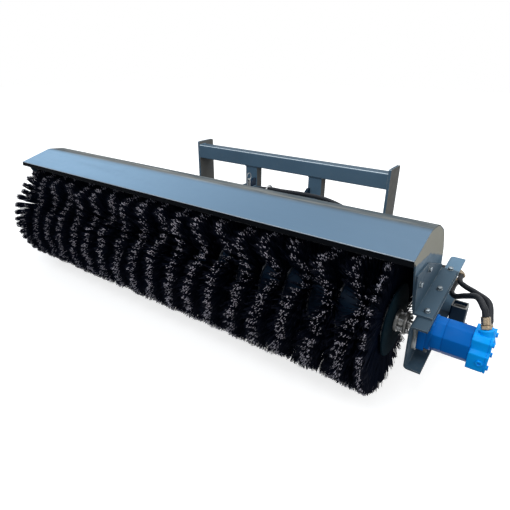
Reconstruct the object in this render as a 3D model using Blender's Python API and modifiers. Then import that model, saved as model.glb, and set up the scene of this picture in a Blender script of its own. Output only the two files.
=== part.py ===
"""Angle sweeper broom for a skid steer loader.

X runs along the brush with the motor at +X, the loader is at +Y, Z is up.
The origin is the middle of the hitch's bottom rail, on the ground.
"""
import bmesh
import bpy
import math
from mathutils import Matrix, Vector

# Fits
GAP = 0.0003
RUNNING_GAP = 0.0006

# Hitch frame
HITCH_WIDTH = 1.150
END_PLATE = 0.012
END_PLATE_DEPTH = 0.122
END_PLATE_RISE = 0.019
RAIL_HEIGHT = 0.075
RAIL_DEPTH = 0.060
RAIL_WALL = 0.005
HITCH_TOP = 0.504
POST_WIDTH = 0.076
POST_DEPTH = 0.050
POST_SETBACK = 0.008
POST_SPACING = 0.392
LIP_THICK = 0.010
LIP_DROP = 0.046
LEDGE_THICK = 0.012
LEDGE_LENGTH = 0.170
LEDGE_HEIGHT = 0.030
SLOT_LENGTH = 0.070
SLOT_WIDTH = 0.032

# Swing pivot
PIVOT_REACH = 0.145
PIVOT_PIN = 0.032
BUSH_WALL = 0.004
SLEEVE_WALL = 0.011
LUG_THICK = 0.015
LUG_NOSE = 0.050
LUG_SHOULDER = 0.150
TURNTABLE_RADIUS = 0.125
TURNTABLE_THICK = 0.008
LOCK_RADIUS = 0.100
LOCK_PIN = 0.016
LOCK_STEPS = (-30, -15, 0, 15, 30)
LOCK_TRAVEL = 0.034
LOCK_HOUSING = 0.034
LOCK_HOUSING_HEIGHT = 0.034
LOCK_RING = 0.018
LOCK_WIRE = 0.0018
LUG_GUSSET = 0.012
LUG_GUSSET_RISE = 0.042
LUG_GUSSET_REACH = 0.070

# Broom frame
TONGUE_LENGTH = 0.240
TUBE = 0.070
TUBE_WALL = 0.005
GUSSET = 0.090
GUSSET_THICK = 0.010
CROSS_CLEARANCE = 0.025
CROSS_LEVEL = 0.015
ARM_CLEARANCE = 0.010
ARM_HEIGHT = 0.160
ARM_FLANGE = 0.050
ARM_WALL = 0.006
ARM_CORNER = 0.012
ARM_FRONT = -0.086
ARM_TAIL = 0.007
ARM_SLOPE = math.radians(6.5)
ARM_TOP = 0.058

# Hood
HOOD_HALF = 0.930
HOOD_SHEET = 0.003
HOOD_END = 0.005
# Its points: degrees round the brush from level at the rear, and clearance from the tips
HOOD_LIP = (116.9, 0.0192)
HOOD_FRONT = (115.1, 0.0327)
HOOD_BEND = (85.7, 0.0468)
HOOD_CROWN = (70.0, 0.0565)
HOOD_SHOULDER = (51.0, 0.0614)
HOOD_BACK = (32.6, 0.0468)
HOOD_REAR = (17.9, 0.0359)
SIDE_TOE_Y = -0.023
SIDE_TOE_RISE = 0.0076
SIDE_FRONT = (112.0, 0.0066)

# Hood brackets
BRACKET_THICK = 0.006
BRACKET_WIDTH = 0.056
BRACKET_LENGTH = 0.285
BRACKET_TOP = (0.035, 0.194)
BRACKET_PEAK = (-0.078, 0.198)
BRACKET_TAIL = 0.018
BOLT = 0.010
BOLT_HEAD = 0.017
BOLT_HEAD_HEIGHT = 0.007
WASHER = 0.022
WASHER_THICK = 0.002
TOP_BOLTS = (-0.008, 0.121, 0.250)
SIDE_BOLTS = ((0.042, 0.172), (-0.041, 0.158))

# Brush
BRUSH_RADIUS = 0.250
CORE_RADIUS = 0.084
CORE_WALL = 0.008
DISC_RIM = 0.032
DISC_THICK = 0.006
WAFERS = 18
END_WAFER = 0.013
END_WAFER_GAP = 0.020
STRANDS_PER_WAFER = 20
STRAND_ROOT = 0.0085
STRAND_TIP = 0.0120
STRAND_SIDES = 3
STRAND_BITE = 0.003
WAVE_HEIGHT = 0.026
WAVES = 4
COUPLING_RADIUS = 0.034
COUPLING_THICK = 0.011
COUPLING_GAP = 0.016
COUPLING_CLEARANCE = 0.021
COLLAR = 0.014
SHAFT = 0.025
SHAFT_SEAT = 0.030

# Motor
MOUNT_PLATE = 0.012
MOUNT_SIZE = 0.098
PILOT = 0.074
MOTOR_FLANGE = 0.096
MOTOR_FLANGE_THICK = 0.022
MOTOR_RADIUS = 0.048
MOTOR_BODY = 0.112
MOTOR_CAP = 0.050
MOTOR_CAP_SIZE = 0.098
MOTOR_BOLTS = 0.080
PORT_BOSS = 0.040
FITTING_HEX = 0.026
FITTING_LENGTH = 0.034
HOSE = 0.018

# Left bearing
BEARING_FLANGE = 0.094
BEARING_FLANGE_THICK = 0.012
BEARING_HUB = 0.062
BEARING_DEPTH = 0.034

# Parking stands
STAND_TUBE = 0.050
STAND_WALL = 0.004
STAND_FORWARD = 0.084
STAND_SINK = 0.030
STAND_LENGTH = 0.150
LEG_FIT = 0.0006
LEG_WALL = 0.004
LEG_LENGTH = 0.165
FOOT = 0.070
FOOT_THICK = 0.008
SCREW = 0.012
SCREW_BAR = 0.060
SCREW_NUT = 0.022
SCREW_END = 0.074
SCREW_DROP = 0.105

# Hoses behind the hood
ELBOW_RISE = 0.036
GUIDE_RING = 0.0250
GUIDE_WIRE = 0.004
COUPLER = 0.030
COUPLER_LENGTH = 0.090
COUPLER_X = -0.215
COUPLER_LANES = (0.327, 0.293)
GUIDE_EYE = (0.132, 0.420, 0.1715)

# Hose routes. Motor hoses: beyond the arm's inner face, behind the brush axis, above it.
# Supply hoses: share of the way from the guide eye to the arm, then behind and above.
# Coupler tails: along from the coupler, then behind and above.
REAR_END_TOP = (0.034, 0.370, -0.006)
REAR_END_REAR = (0.046, 0.372, 0.024)
MOTOR_ROUTE_TOP = ((0.133, 0.070, 0.112), (0.095, 0.140, 0.070), (0.062, 0.210, 0.024),
                   (0.040, 0.275, 0.000), (0.034, 0.330, -0.006))
MOTOR_ROUTE_REAR = ((0.160, 0.165, 0.056), (0.118, 0.215, 0.052), (0.082, 0.262, 0.040),
                    (0.056, 0.310, 0.028), (0.047, 0.345, 0.024))
SUPPLY_ROUTE_TOP = ((0.8886, 0.398, -0.010), (0.7649, 0.386, 0.000), (0.6535, 0.386, 0.036),
                    (0.5545, 0.398, 0.094), (0.4678, 0.420, 0.138), (0.3812, 0.420, 0.160),
                    (0.2822, 0.420, 0.168), (0.1832, 0.420, 0.167), (0.0842, 0.420, 0.163),
                    (0.0, 0.420, 0.161))
SUPPLY_ROUTE_REAR = ((0.8886, 0.400, 0.020), (0.7649, 0.386, 0.024), (0.6535, 0.386, 0.060),
                     (0.5545, 0.398, 0.118), (0.4691, 0.420, 0.160), (0.3812, 0.420, 0.182),
                     (0.2970, 0.420, 0.189), (0.1832, 0.420, 0.188), (0.0842, 0.420, 0.184),
                     (0.0, 0.420, 0.182))
TAIL_ROUTE_TOP = ((0.255, 0.404, 0.142), (0.165, 0.356, 0.106), (0.095, 0.311, 0.076))
TAIL_ROUTE_REAR = ((0.255, 0.412, 0.164), (0.165, 0.380, 0.124), (0.095, 0.343, 0.082))

# Derived places
CROSS_REAR = BRUSH_RADIUS + CROSS_CLEARANCE + TUBE
ARM_REAR = CROSS_REAR + ARM_TAIL
ARM_INNER = HOOD_HALF + ARM_CLEARANCE
BRUSH_HALF = ARM_INNER - DISC_THICK - 2 * COUPLING_THICK - COUPLING_GAP - COUPLING_CLEARANCE
DISC_RADIUS = CORE_RADIUS + DISC_RIM
BRUSH_REACH = RAIL_DEPTH / 2 + PIVOT_REACH + TONGUE_LENGTH + CROSS_REAR
AXIS_Y = -BRUSH_REACH
AXIS_Z = BRUSH_RADIUS + 0.0002
FRONT_FACE = -RAIL_DEPTH / 2
PIVOT_Y = FRONT_FACE - PIVOT_REACH
RAIL_LENGTH = HITCH_WIDTH - 2 * END_PLATE - 2 * GAP
TONGUE_TOP = AXIS_Z + CROSS_LEVEL + TUBE / 2
TONGUE_BOTTOM = TONGUE_TOP - TUBE
SLEEVE_TOP = TONGUE_TOP + TURNTABLE_THICK + 0.004
LUG_TOP_Z = SLEEVE_TOP + RUNNING_GAP
LUG_BOTTOM_Z = TONGUE_BOTTOM - RUNNING_GAP - LUG_THICK
SLEEVE_BORE = PIVOT_PIN / 2 + BUSH_WALL + RUNNING_GAP
SLEEVE_RADIUS = SLEEVE_BORE + GAP + SLEEVE_WALL
WEB_OUTER = ARM_INNER + ARM_WALL
MOUNT_FACE = WEB_OUTER + GAP
FLANGE_FACE = MOUNT_FACE + MOUNT_PLATE + GAP
BODY_FACE = FLANGE_FACE + MOTOR_FLANGE_THICK
CAP_FACE = BODY_FACE + MOTOR_BODY + GAP
SIDE_INNER = HOOD_HALF - HOOD_END
LEAF_FACE = HOOD_HALF + GAP
LEG = STAND_TUBE - 2 * STAND_WALL - 2 * LEG_FIT
STAND_Y = ARM_REAR - STAND_FORWARD
STAND_TOP = AXIS_Z - STAND_SINK
STAND_X = ARM_INNER + ARM_FLANGE + GAP + STAND_TUBE / 2

PAINT = ((0.075, 0.105, 0.135), 0.42, 0.0)
DARK_PAINT = ((0.020, 0.030, 0.042), 0.5, 0.0)
STEEL = ((0.46, 0.45, 0.42), 0.35, 0.9)
BLUE = ((0.0, 0.11, 0.50), 0.35, 0.0)
RUBBER = ((0.012, 0.013, 0.015), 0.6, 0.0)
BRISTLE = ((0.010, 0.010, 0.014), 0.7, 0.0)


def collection(name):
    found = bpy.data.collections.new(name)
    bpy.context.scene.collection.children.link(found)
    return found


def material(name, finish):
    colour, roughness, metallic = finish
    made = bpy.data.materials.new(name)
    made.use_nodes = True
    shader = made.node_tree.nodes["Principled BSDF"]
    shader.inputs["Base Color"].default_value = (*colour, 1.0)
    shader.inputs["Roughness"].default_value = roughness
    shader.inputs["Metallic"].default_value = metallic
    return made


def add_object(name, mesh, finish=None, place=None):
    made = bpy.data.objects.new(name, mesh)
    PARTS.objects.link(made)
    if place is not None:
        made.matrix_world = place
    if finish is not None:
        mesh.materials.clear()
        mesh.materials.append(material(name, finish))
    return made


def evaluated_mesh(source):
    """The object's shape with its modifiers done and its loose caps welded."""
    bpy.context.view_layer.update()
    graph = bpy.context.evaluated_depsgraph_get()
    mesh = bpy.data.meshes.new_from_object(source.evaluated_get(graph))
    shape = bmesh.new()
    shape.from_mesh(mesh)
    bmesh.ops.remove_doubles(shape, verts=shape.verts, dist=0.00001)
    bmesh.ops.recalc_face_normals(shape, faces=shape.faces)
    shape.to_mesh(mesh)
    shape.free()
    return mesh


def settle(source):
    """Turn a curve, or an object with modifiers, into a plain mesh in place."""
    mesh = evaluated_mesh(source)
    name = source.name
    place = source.matrix_world.copy()
    finish = list(source.data.materials)
    bpy.data.objects.remove(source)
    mesh.materials.clear()
    for used in finish:
        mesh.materials.append(used)
    made = bpy.data.objects.new(name, mesh)
    PARTS.objects.link(made)
    made.matrix_world = place
    return made


def smooth(made, angle=35):
    made.data.shade_smooth()
    made.data.set_sharp_from_angle(angle=math.radians(angle))
    return made


def at(x=0.0, y=0.0, z=0.0):
    return Matrix.Translation((x, y, z))


def along_x(x=0.0, y=0.0, z=0.0):
    """Local Z becomes world X, local X world Y, local Y world Z."""
    turn = Matrix(((0, 0, 1, 0), (1, 0, 0, 0), (0, 1, 0, 0), (0, 0, 0, 1)))
    return at(x, y, z) @ turn


def on_arm(x, lift=0.0):
    """As along_x at the brush axis, turned to lie square in the sloping arm."""
    return along_x(x, AXIS_Y, AXIS_Z) @ Matrix.Rotation(ARM_SLOPE, 4, "Z") @ at(0, lift, 0)


def aimed(point, direction):
    """Local Z becomes the given direction."""
    return at(*point) @ Vector(direction).to_track_quat("Z", "Y").to_matrix().to_4x4()


def near_axis(x, y=0.0, z=0.0):
    """A point given from the brush axis, in world places."""
    return (x, AXIS_Y + y, AXIS_Z + z)


def fillet(corners, radii, steps=4, closed=True):
    """The outline with each corner rounded by its radius."""
    if not isinstance(radii, (list, tuple)):
        radii = [radii] * len(corners)
    out = []
    count = len(corners)
    for i, corner in enumerate(corners):
        here = Vector(corner)
        if radii[i] == 0 or (not closed and i in (0, count - 1)):
            out.append(tuple(here))
            continue
        back = (Vector(corners[i - 1]) - here)
        ahead = (Vector(corners[(i + 1) % count]) - here)
        half = back.angle(ahead) / 2
        reach = radii[i] / math.tan(half)
        centre = here + (back.normalized() + ahead.normalized()).normalized() * radii[i] / math.sin(half)
        start = here + back.normalized() * reach - centre
        end = here + ahead.normalized() * reach - centre
        sweep = start.angle_signed(end)
        for k in range(steps + 1):
            turn = -sweep * k / steps
            spun = Vector((start.x * math.cos(turn) - start.y * math.sin(turn),
                           start.x * math.sin(turn) + start.y * math.cos(turn)))
            out.append(tuple(centre + spun))
    return out


def rectangle(width, height, radius=0.0, steps=3):
    w = width / 2
    h = height / 2
    corners = [(-w, -h), (w, -h), (w, h), (-w, h)]
    return fillet(corners, radius, steps) if radius else corners


def circle(radius, sides=16, centre=(0.0, 0.0)):
    turns = [2 * math.pi * (i + 0.5) / sides for i in range(sides)]
    return [(centre[0] + radius * math.cos(a), centre[1] + radius * math.sin(a)) for a in turns]


def extruded(name, outlines, depth, finish=None, place=None):
    """A flat outline with its holes, from local z = 0 to depth."""
    flat = bpy.data.curves.new(name, "CURVE")
    flat.dimensions = "2D"
    flat.fill_mode = "BOTH"
    flat.extrude = depth / 2
    for outline in outlines:
        run = flat.splines.new("POLY")
        run.points.add(len(outline) - 1)
        for point, (x, y) in zip(run.points, outline):
            point.co = (x, y, 0.0, 1.0)
        run.use_cyclic_u = True
    made = add_object(name, flat, finish)
    place = place or Matrix()
    made.matrix_world = place @ at(0, 0, depth / 2)
    return settle(made)


def turned(name, profile, finish=None, place=None, sides=20, closed=False):
    """A profile in local X (radius) and Z, top to bottom, spun about local Z."""
    mesh = bpy.data.meshes.new(name)
    points = [(radius, 0.0, height) for radius, height in profile]
    edges = [(i, i + 1) for i in range(len(points) - 1)]
    if closed:
        edges.append((len(points) - 1, 0))
    mesh.from_pydata(points, edges, [])
    made = add_object(name, mesh, finish, place)
    screw = made.modifiers.new("Turn", "SCREW")
    screw.steps = sides
    screw.render_steps = sides
    screw.use_merge_vertices = True
    screw.merge_threshold = 0.00001
    return smooth(settle(made))


def rod(name, radius, low, high, finish=None, place=None, sides=16, chamfer=0.0):
    profile = [(0, high), (radius - chamfer, high), (radius, high - chamfer),
               (radius, low + chamfer), (radius - chamfer, low), (0, low)]
    if not chamfer:
        profile = [(0, high), (radius, high), (radius, low), (0, low)]
    return turned(name, profile, finish, place, sides)


def bored(name, outer, inner, low, high, finish=None, place=None, sides=20):
    ring = [(inner, high), (outer, high), (outer, low), (inner, low)]
    return turned(name, ring, finish, place, sides, closed=True)


def tube_along(name, points, radius, finish=None, sides=2):
    """A solid tube on a straight-sided run through the given world points."""
    run = bpy.data.curves.new(name, "CURVE")
    run.dimensions = "3D"
    run.bevel_depth = radius
    run.bevel_resolution = sides
    run.use_fill_caps = True
    spline = run.splines.new("POLY")
    spline.points.add(len(points) - 1)
    for point, place in zip(spline.points, points):
        point.co = (*place, 1.0)
    return smooth(settle(add_object(name, run, finish)), 50)


def smooth_route(points, spacing):
    """Even points on a smooth curve through the route's own points."""
    guides = [Vector(p) for p in points]
    first = guides[0] * 2 - guides[1]
    last = guides[-1] * 2 - guides[-2]
    guides = [first, *guides, last]
    dense = []
    for i in range(1, len(guides) - 2):
        a, b, c, d = guides[i - 1:i + 3]
        for k in range(40):
            t = k / 40
            dense.append(0.5 * (2 * b + (c - a) * t + (2 * a - 5 * b + 4 * c - d) * t * t
                                + (3 * b - a - 3 * c + d) * t ** 3))
    dense.append(guides[-2])
    lengths = [0.0]
    for one, two in zip(dense, dense[1:]):
        lengths.append(lengths[-1] + (two - one).length)
    count = max(2, round(lengths[-1] / spacing))
    out = []
    j = 0
    for i in range(count + 1):
        goal = lengths[-1] * i / count
        while j < len(lengths) - 2 and lengths[j + 1] < goal:
            j += 1
        part = (goal - lengths[j]) / max(lengths[j + 1] - lengths[j], 1e-9)
        out.append(tuple(dense[j].lerp(dense[j + 1], min(part, 1.0))))
    return out


def combine(made, other, operation):
    """Cut or join with an exact Boolean, done at once; the other object goes away."""
    step = made.modifiers.new(operation.title(), "BOOLEAN")
    step.operation = operation
    step.solver = "EXACT"
    step.object = other
    result = settle(made)
    bpy.data.objects.remove(other)
    return result


def drill(made, point, direction, radius, depth, sides=16):
    cutter = rod("drill", radius, -depth / 2, depth / 2, None, aimed(point, direction), sides)
    return combine(made, cutter, "DIFFERENCE")


def square_tube(name, width, height, wall, length, finish, place, radius=0.006):
    outer = rectangle(width, height, radius)
    inner = rectangle(width - 2 * wall, height - 2 * wall, max(radius - wall, 0.001), 1)
    return extruded(name, [outer, inner], length, finish, place)


def hex_outline(across):
    return circle(across / math.sqrt(3), 6)


def bolt(name, place, finish=STEEL):
    """A hex head on its washer, with a short shank below the seat at local z = 0."""
    shank = 2 * GAP - BRACKET_THICK
    washer = [(0, WASHER_THICK), (WASHER / 2, WASHER_THICK), (WASHER / 2, 0.0), (BOLT / 2, 0.0),
              (BOLT / 2, shank), (0, shank)]
    seat = turned(name, washer, finish, place, 12)
    head = extruded("head", [hex_outline(BOLT_HEAD)], BOLT_HEAD_HEIGHT, None,
                    place @ at(0, 0, WASHER_THICK / 2))
    return combine(seat, head, "UNION")


def both_sides(build):
    """Run a builder for the motor side and for the far side."""
    for side, word in ((1, "right"), (-1, "left")):
        build(side, word)


def span(side, inner, depth):
    """The start of a piece that grows outwards from x = inner on one side."""
    return inner if side > 0 else -inner - depth


def hitch_frame():
    rail_start = -RAIL_LENGTH / 2
    middle = HITCH_TOP - RAIL_HEIGHT / 2
    bar = square_tube("hitch_top_bar", RAIL_DEPTH, RAIL_HEIGHT, RAIL_WALL, RAIL_LENGTH, PAINT,
                      along_x(rail_start, 0.0, middle))
    square_tube("hitch_lower_rail", RAIL_DEPTH, RAIL_HEIGHT, RAIL_WALL, RAIL_LENGTH, PAINT,
                along_x(rail_start, 0.0, RAIL_HEIGHT / 2))
    low = RAIL_HEIGHT + GAP
    high = HITCH_TOP - RAIL_HEIGHT - GAP
    rear = FRONT_FACE + END_PLATE_DEPTH
    top = HITCH_TOP + END_PLATE_RISE
    plate = fillet([(FRONT_FACE, 0.0), (rear, 0.0), (rear, top), (FRONT_FACE, top)],
                   [0.004, 0.018, 0.010, 0.004], 3)

    def side_pieces(side, word):
        inner = HITCH_WIDTH / 2 - END_PLATE
        extruded("hitch_end_plate_" + word, [plate], END_PLATE, PAINT,
                 along_x(span(side, inner, END_PLATE)))
        square_tube("hitch_post_" + word, POST_WIDTH, POST_DEPTH, RAIL_WALL, high - low, PAINT,
                    at(side * POST_SPACING / 2, FRONT_FACE + POST_SETBACK + POST_DEPTH / 2, low))
        ledge_depth = END_PLATE_DEPTH - RAIL_DEPTH - GAP - 0.004
        ledge_middle = side * (inner - GAP - LEDGE_LENGTH / 2)
        extruded("hitch_ledge_" + word,
                 [rectangle(LEDGE_LENGTH, ledge_depth), rectangle(SLOT_LENGTH, SLOT_WIDTH, 0.008)],
                 LEDGE_THICK, PAINT,
                 at(ledge_middle, RAIL_DEPTH / 2 + GAP + ledge_depth / 2, LEDGE_HEIGHT))

    both_sides(side_pieces)
    start = RAIL_DEPTH / 2 - RAIL_WALL / 2
    crest = HITCH_TOP - 0.008
    lip = [(start, crest), (start + LIP_DROP, crest - LIP_DROP),
           (start + LIP_DROP - LIP_THICK * 0.7, crest - LIP_DROP - LIP_THICK * 0.7),
           (start, crest - LIP_THICK * 1.4)]
    hook = extruded("hook_lip", [lip], RAIL_LENGTH, None, along_x(rail_start))
    combine(bar, hook, "UNION")


def pivot():
    seat = FRONT_FACE + POST_SETBACK - GAP
    outer = POST_SPACING / 2 + POST_WIDTH / 2
    nose = PIVOT_Y - LUG_NOSE
    outline = fillet([(-outer, seat), (-outer, seat - 0.030), (-LUG_SHOULDER, nose),
                      (LUG_SHOULDER, nose), (outer, seat - 0.030), (outer, seat)],
                     [0, 0.010, 0.040, 0.040, 0.010, 0])
    pin_hole = circle(PIVOT_PIN / 2 + GAP, 24, (0.0, PIVOT_Y))
    lock_hole = circle(LOCK_PIN / 2 + RUNNING_GAP, 16, (-LOCK_RADIUS, PIVOT_Y))
    upper = extruded("pivot_lug_upper", [outline, pin_hole, lock_hole], LUG_THICK, PAINT,
                     at(0, 0, LUG_TOP_Z))
    bore = LOCK_PIN / 2 + RUNNING_GAP
    outer_wall = LOCK_HOUSING / 2
    housing = [(bore + 0.002, LOCK_HOUSING_HEIGHT), (outer_wall - 0.003, LOCK_HOUSING_HEIGHT),
               (outer_wall, LOCK_HOUSING_HEIGHT - 0.003), (outer_wall, 0.006),
               (outer_wall + 0.006, 0.006), (outer_wall + 0.006, -0.002), (bore + 0.002, -0.002)]
    combine(upper, turned("housing", housing, None, at(-LOCK_RADIUS, PIVOT_Y, LUG_TOP_Z + LUG_THICK),
                          closed=True), "UNION")
    extruded("pivot_lug_lower", [outline, pin_hole], LUG_THICK, PAINT, at(0, 0, LUG_BOTTOM_Z))

    pin_radius = PIVOT_PIN / 2
    head_seat = LUG_TOP_Z + LUG_THICK + GAP
    head = [(0, 0.012), (pin_radius + 0.006, 0.012), (pin_radius + 0.009, 0.009),
            (pin_radius + 0.009, 0.0), (pin_radius, 0.0),
            (pin_radius, LUG_BOTTOM_Z - head_seat - 0.014),
            (pin_radius - 0.003, LUG_BOTTOM_Z - head_seat - 0.018),
            (0, LUG_BOTTOM_Z - head_seat - 0.018)]
    turned("pivot_pin", head, STEEL, at(0, PIVOT_Y, head_seat))

    bush = PIVOT_PIN / 2 + RUNNING_GAP
    for word, low, high in (("upper", SLEEVE_TOP - 0.030, SLEEVE_TOP),
                            ("lower", TONGUE_BOTTOM, TONGUE_BOTTOM + 0.030)):
        bored("pivot_bush_" + word, bush + BUSH_WALL - RUNNING_GAP, bush, low, high,
              ((0.55, 0.36, 0.14), 0.4, 0.8), at(0, PIVOT_Y, 0))


def turntable():
    """The lock plate round the sleeve, with a hole for each swing angle."""
    holes = [circle(SLEEVE_RADIUS + GAP, 24)]
    for step in LOCK_STEPS:
        turn = math.radians(180 + step)
        middle = (LOCK_RADIUS * math.cos(turn), LOCK_RADIUS * math.sin(turn))
        holes.append(circle(LOCK_PIN / 2 + 0.001, 10, middle))
    extruded("lock_plate", [circle(TURNTABLE_RADIUS, 40), *holes], TURNTABLE_THICK, PAINT,
             at(0, PIVOT_Y, TONGUE_TOP + GAP))


def lock():
    """The spring lock pin, lifted out of its hole, in a housing on the upper lug."""
    seat = LUG_TOP_Z + LUG_THICK + GAP
    place = at(-LOCK_RADIUS, PIVOT_Y, seat)
    low = LUG_TOP_Z - seat + 0.004
    high = LOCK_HOUSING_HEIGHT + LOCK_TRAVEL + 0.012
    radius = LOCK_PIN / 2
    shank = rod("lock_pin", radius, low, high, STEEL, place, 16, 0.002)
    eye = seat + high - 0.007
    smooth(drill(shank, (-LOCK_RADIUS, PIVOT_Y, eye), (0, 1, 0), LOCK_WIRE * 1.8, 0.04, 10))
    return -LOCK_RADIUS, PIVOT_Y, eye + LOCK_RING - LOCK_WIRE / 2


def lock_ring(centre):
    """The wire ring through the pin's cross hole."""
    bpy.ops.mesh.primitive_torus_add(major_radius=LOCK_RING, minor_radius=LOCK_WIRE,
                                     major_segments=24, minor_segments=6)
    ring = bpy.context.active_object
    ring.name = "lock_pin_ring"
    ring.matrix_world = aimed(centre, (1, 0, 0))
    bpy.ops.object.shade_smooth()
    for group in list(ring.users_collection):
        group.objects.unlink(ring)
    PARTS.objects.link(ring)
    ring.data.materials.append(material("lock_pin_ring", STEEL))


def lug_gussets():
    """Upright plates that stiffen the upper lug against the posts."""
    seat = FRONT_FACE + POST_SETBACK - GAP
    base = LUG_TOP_Z + LUG_THICK + GAP
    shape = [(seat, base), (seat, base + LUG_GUSSET_RISE), (seat - 0.018, base + LUG_GUSSET_RISE),
             (seat - LUG_GUSSET_REACH, base + 0.008), (seat - LUG_GUSSET_REACH, base)]

    def one(side, word):
        inner = POST_SPACING / 2 - POST_WIDTH / 2 + 0.004
        extruded("lug_gusset_" + word, [shape], LUG_GUSSET, DARK_PAINT,
                 along_x(span(side, inner, LUG_GUSSET)))

    both_sides(one)


def broom_frame():
    tube_start = -(ARM_INNER - GAP)
    cross_y = AXIS_Y + CROSS_REAR - TUBE / 2
    level = AXIS_Z + CROSS_LEVEL
    square_tube("cross_tube", TUBE, TUBE, TUBE_WALL, 2 * (ARM_INNER - GAP), PAINT,
                along_x(tube_start, cross_y, level))
    start = AXIS_Y + CROSS_REAR + GAP
    turn = Matrix.Rotation(math.radians(-90), 4, "X")
    tongue = square_tube("pivot_tongue", TUBE, TUBE, TUBE_WALL, PIVOT_Y - start, PAINT,
                         at(0, start, level) @ turn)
    bore = SLEEVE_BORE + GAP
    cope = rod("cope", bore + SLEEVE_WALL / 2, -TUBE, TUBE, None, at(0, PIVOT_Y, level), 32)
    tongue = combine(tongue, cope, "DIFFERENCE")
    sleeve = bored("sleeve", SLEEVE_RADIUS, bore, TONGUE_BOTTOM, SLEEVE_TOP, None, at(0, PIVOT_Y, 0), 32)
    tongue = combine(tongue, sleeve, "UNION")
    for side in (1, -1):
        edge = TUBE / 2 - TUBE_WALL / 2
        foot = start + GAP
        shape = [(side * edge, foot), (side * (edge + GUSSET), foot), (side * edge, foot + GUSSET)]
        gusset = extruded("gusset", [shape], GUSSET_THICK, None, at(0, 0, level - GUSSET_THICK / 2))
        tongue = combine(tongue, gusset, "UNION")


def arm_line(y, drop=0.0):
    """Height of the arm's top face at y, from the brush axis."""
    return ARM_TOP + math.tan(ARM_SLOPE) * y - drop


def arms():
    w = ARM_FLANGE
    h = ARM_HEIGHT
    t = ARM_WALL
    channel = fillet([(0, 0), (w, 0), (w, t), (t, t), (t, h - t), (w, h - t), (w, h), (0, h)],
                     [ARM_CORNER, 0, 0, ARM_CORNER - t, ARM_CORNER - t, 0, 0, ARM_CORNER], 4)
    length = (ARM_REAR - ARM_FRONT) / math.cos(ARM_SLOPE)

    def one(side, word):
        outline = [(side * x, y) for x, y in channel]
        low = near_axis(side * ARM_INNER, ARM_FRONT + h * math.sin(ARM_SLOPE),
                        arm_line(ARM_FRONT) - h * math.cos(ARM_SLOPE))
        turn = Matrix.Rotation(math.radians(90) + ARM_SLOPE, 4, "X")
        made = extruded("arm_" + word, [outline], length, PAINT,
                        at(*low) @ turn @ Matrix.Rotation(math.radians(180), 4, "X")
                        @ Matrix.Scale(-1, 4, (0, 1, 0)))
        made = square_up(made)
        bore = (PILOT if side > 0 else BEARING_HUB) / 2 + 0.002
        drill(made, near_axis(side * ARM_INNER), (1, 0, 0), bore, 0.08, 32)

    both_sides(one)


def square_up(made):
    """Put the place into the mesh and turn its faces outwards after a mirrored placing."""
    made.data.transform(made.matrix_world)
    made.matrix_world = Matrix()
    shape = bmesh.new()
    shape.from_mesh(made.data)
    bmesh.ops.recalc_face_normals(shape, faces=shape.faces)
    shape.to_mesh(made.data)
    shape.free()
    return made


def over_brush(point):
    """A point given by its angle round the brush and its clearance from the bristle tips."""
    angle, clearance = point
    turn = math.radians(angle)
    reach = BRUSH_RADIUS + clearance
    return reach * math.cos(turn), reach * math.sin(turn)


def hood_profile():
    marks = [HOOD_LIP, HOOD_FRONT, HOOD_BEND, HOOD_CROWN, HOOD_SHOULDER, HOOD_BACK, HOOD_REAR]
    corners = [over_brush(mark) for mark in marks]
    return fillet(corners, [0, 0.006, 0.060, 0.110, 0.110, 0.110, 0], 5, closed=False)


def inset(points, amount):
    """The profile moved towards the brush by a wall and a gap."""
    out = []
    for i, point in enumerate(points):
        before = Vector(points[max(i - 1, 0)])
        after = Vector(points[min(i + 1, len(points) - 1)])
        run = (after - before).normalized()
        out.append((point[0] + run.y * amount, point[1] - run.x * amount))
    return out


def hood():
    profile = hood_profile()
    mesh = bpy.data.meshes.new("hood_shell")
    shape = bmesh.new()
    first = [shape.verts.new((-HOOD_HALF, y, z)) for y, z in profile]
    edges = [shape.edges.new(pair) for pair in zip(first, first[1:])]
    grown = bmesh.ops.extrude_edge_only(shape, edges=edges)["geom"]
    moved = [part for part in grown if isinstance(part, bmesh.types.BMVert)]
    bmesh.ops.translate(shape, verts=moved, vec=(2 * HOOD_HALF, 0, 0))
    bmesh.ops.recalc_face_normals(shape, faces=shape.faces)
    shape.to_mesh(mesh)
    shape.free()
    shell = add_object("hood_shell", mesh, PAINT, at(0, AXIS_Y, AXIS_Z))
    wall = shell.modifiers.new("Sheet", "SOLIDIFY")
    wall.thickness = HOOD_SHEET
    wall.offset = 0.0
    smooth(settle(shell))

    edge = inset(profile[1:], HOOD_SHEET / 2 + GAP)
    lowest = edge[-1]
    tail = (lowest[0], arm_line(lowest[0]) + BRACKET_THICK)
    toe = (SIDE_TOE_Y, arm_line(SIDE_TOE_Y) + SIDE_TOE_RISE)
    outline = [toe, tail, *reversed(edge), over_brush(SIDE_FRONT)]

    def side_plate(side, word):
        extruded("hood_side_" + word, [outline], HOOD_END, PAINT,
                 along_x(span(side, SIDE_INNER, HOOD_END), AXIS_Y, AXIS_Z))

    both_sides(side_plate)


def place_bolt(leaf, side, name, place):
    """On the right a bolt of its own in a drilled hole; on the left fused with the bracket."""
    if side < 0:
        head = bolt(name, place @ at(0, 0, -2 * GAP))
        return combine(leaf, head, "UNION")
    seat = place.translation
    direction = place.to_3x3() @ Vector((0, 0, 1))
    leaf = drill(leaf, seat, direction, BOLT / 2 + GAP, 0.03, 12)
    bolt(name, place)
    return leaf


def bracket_rise(y):
    return arm_line(y) + GAP


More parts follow.
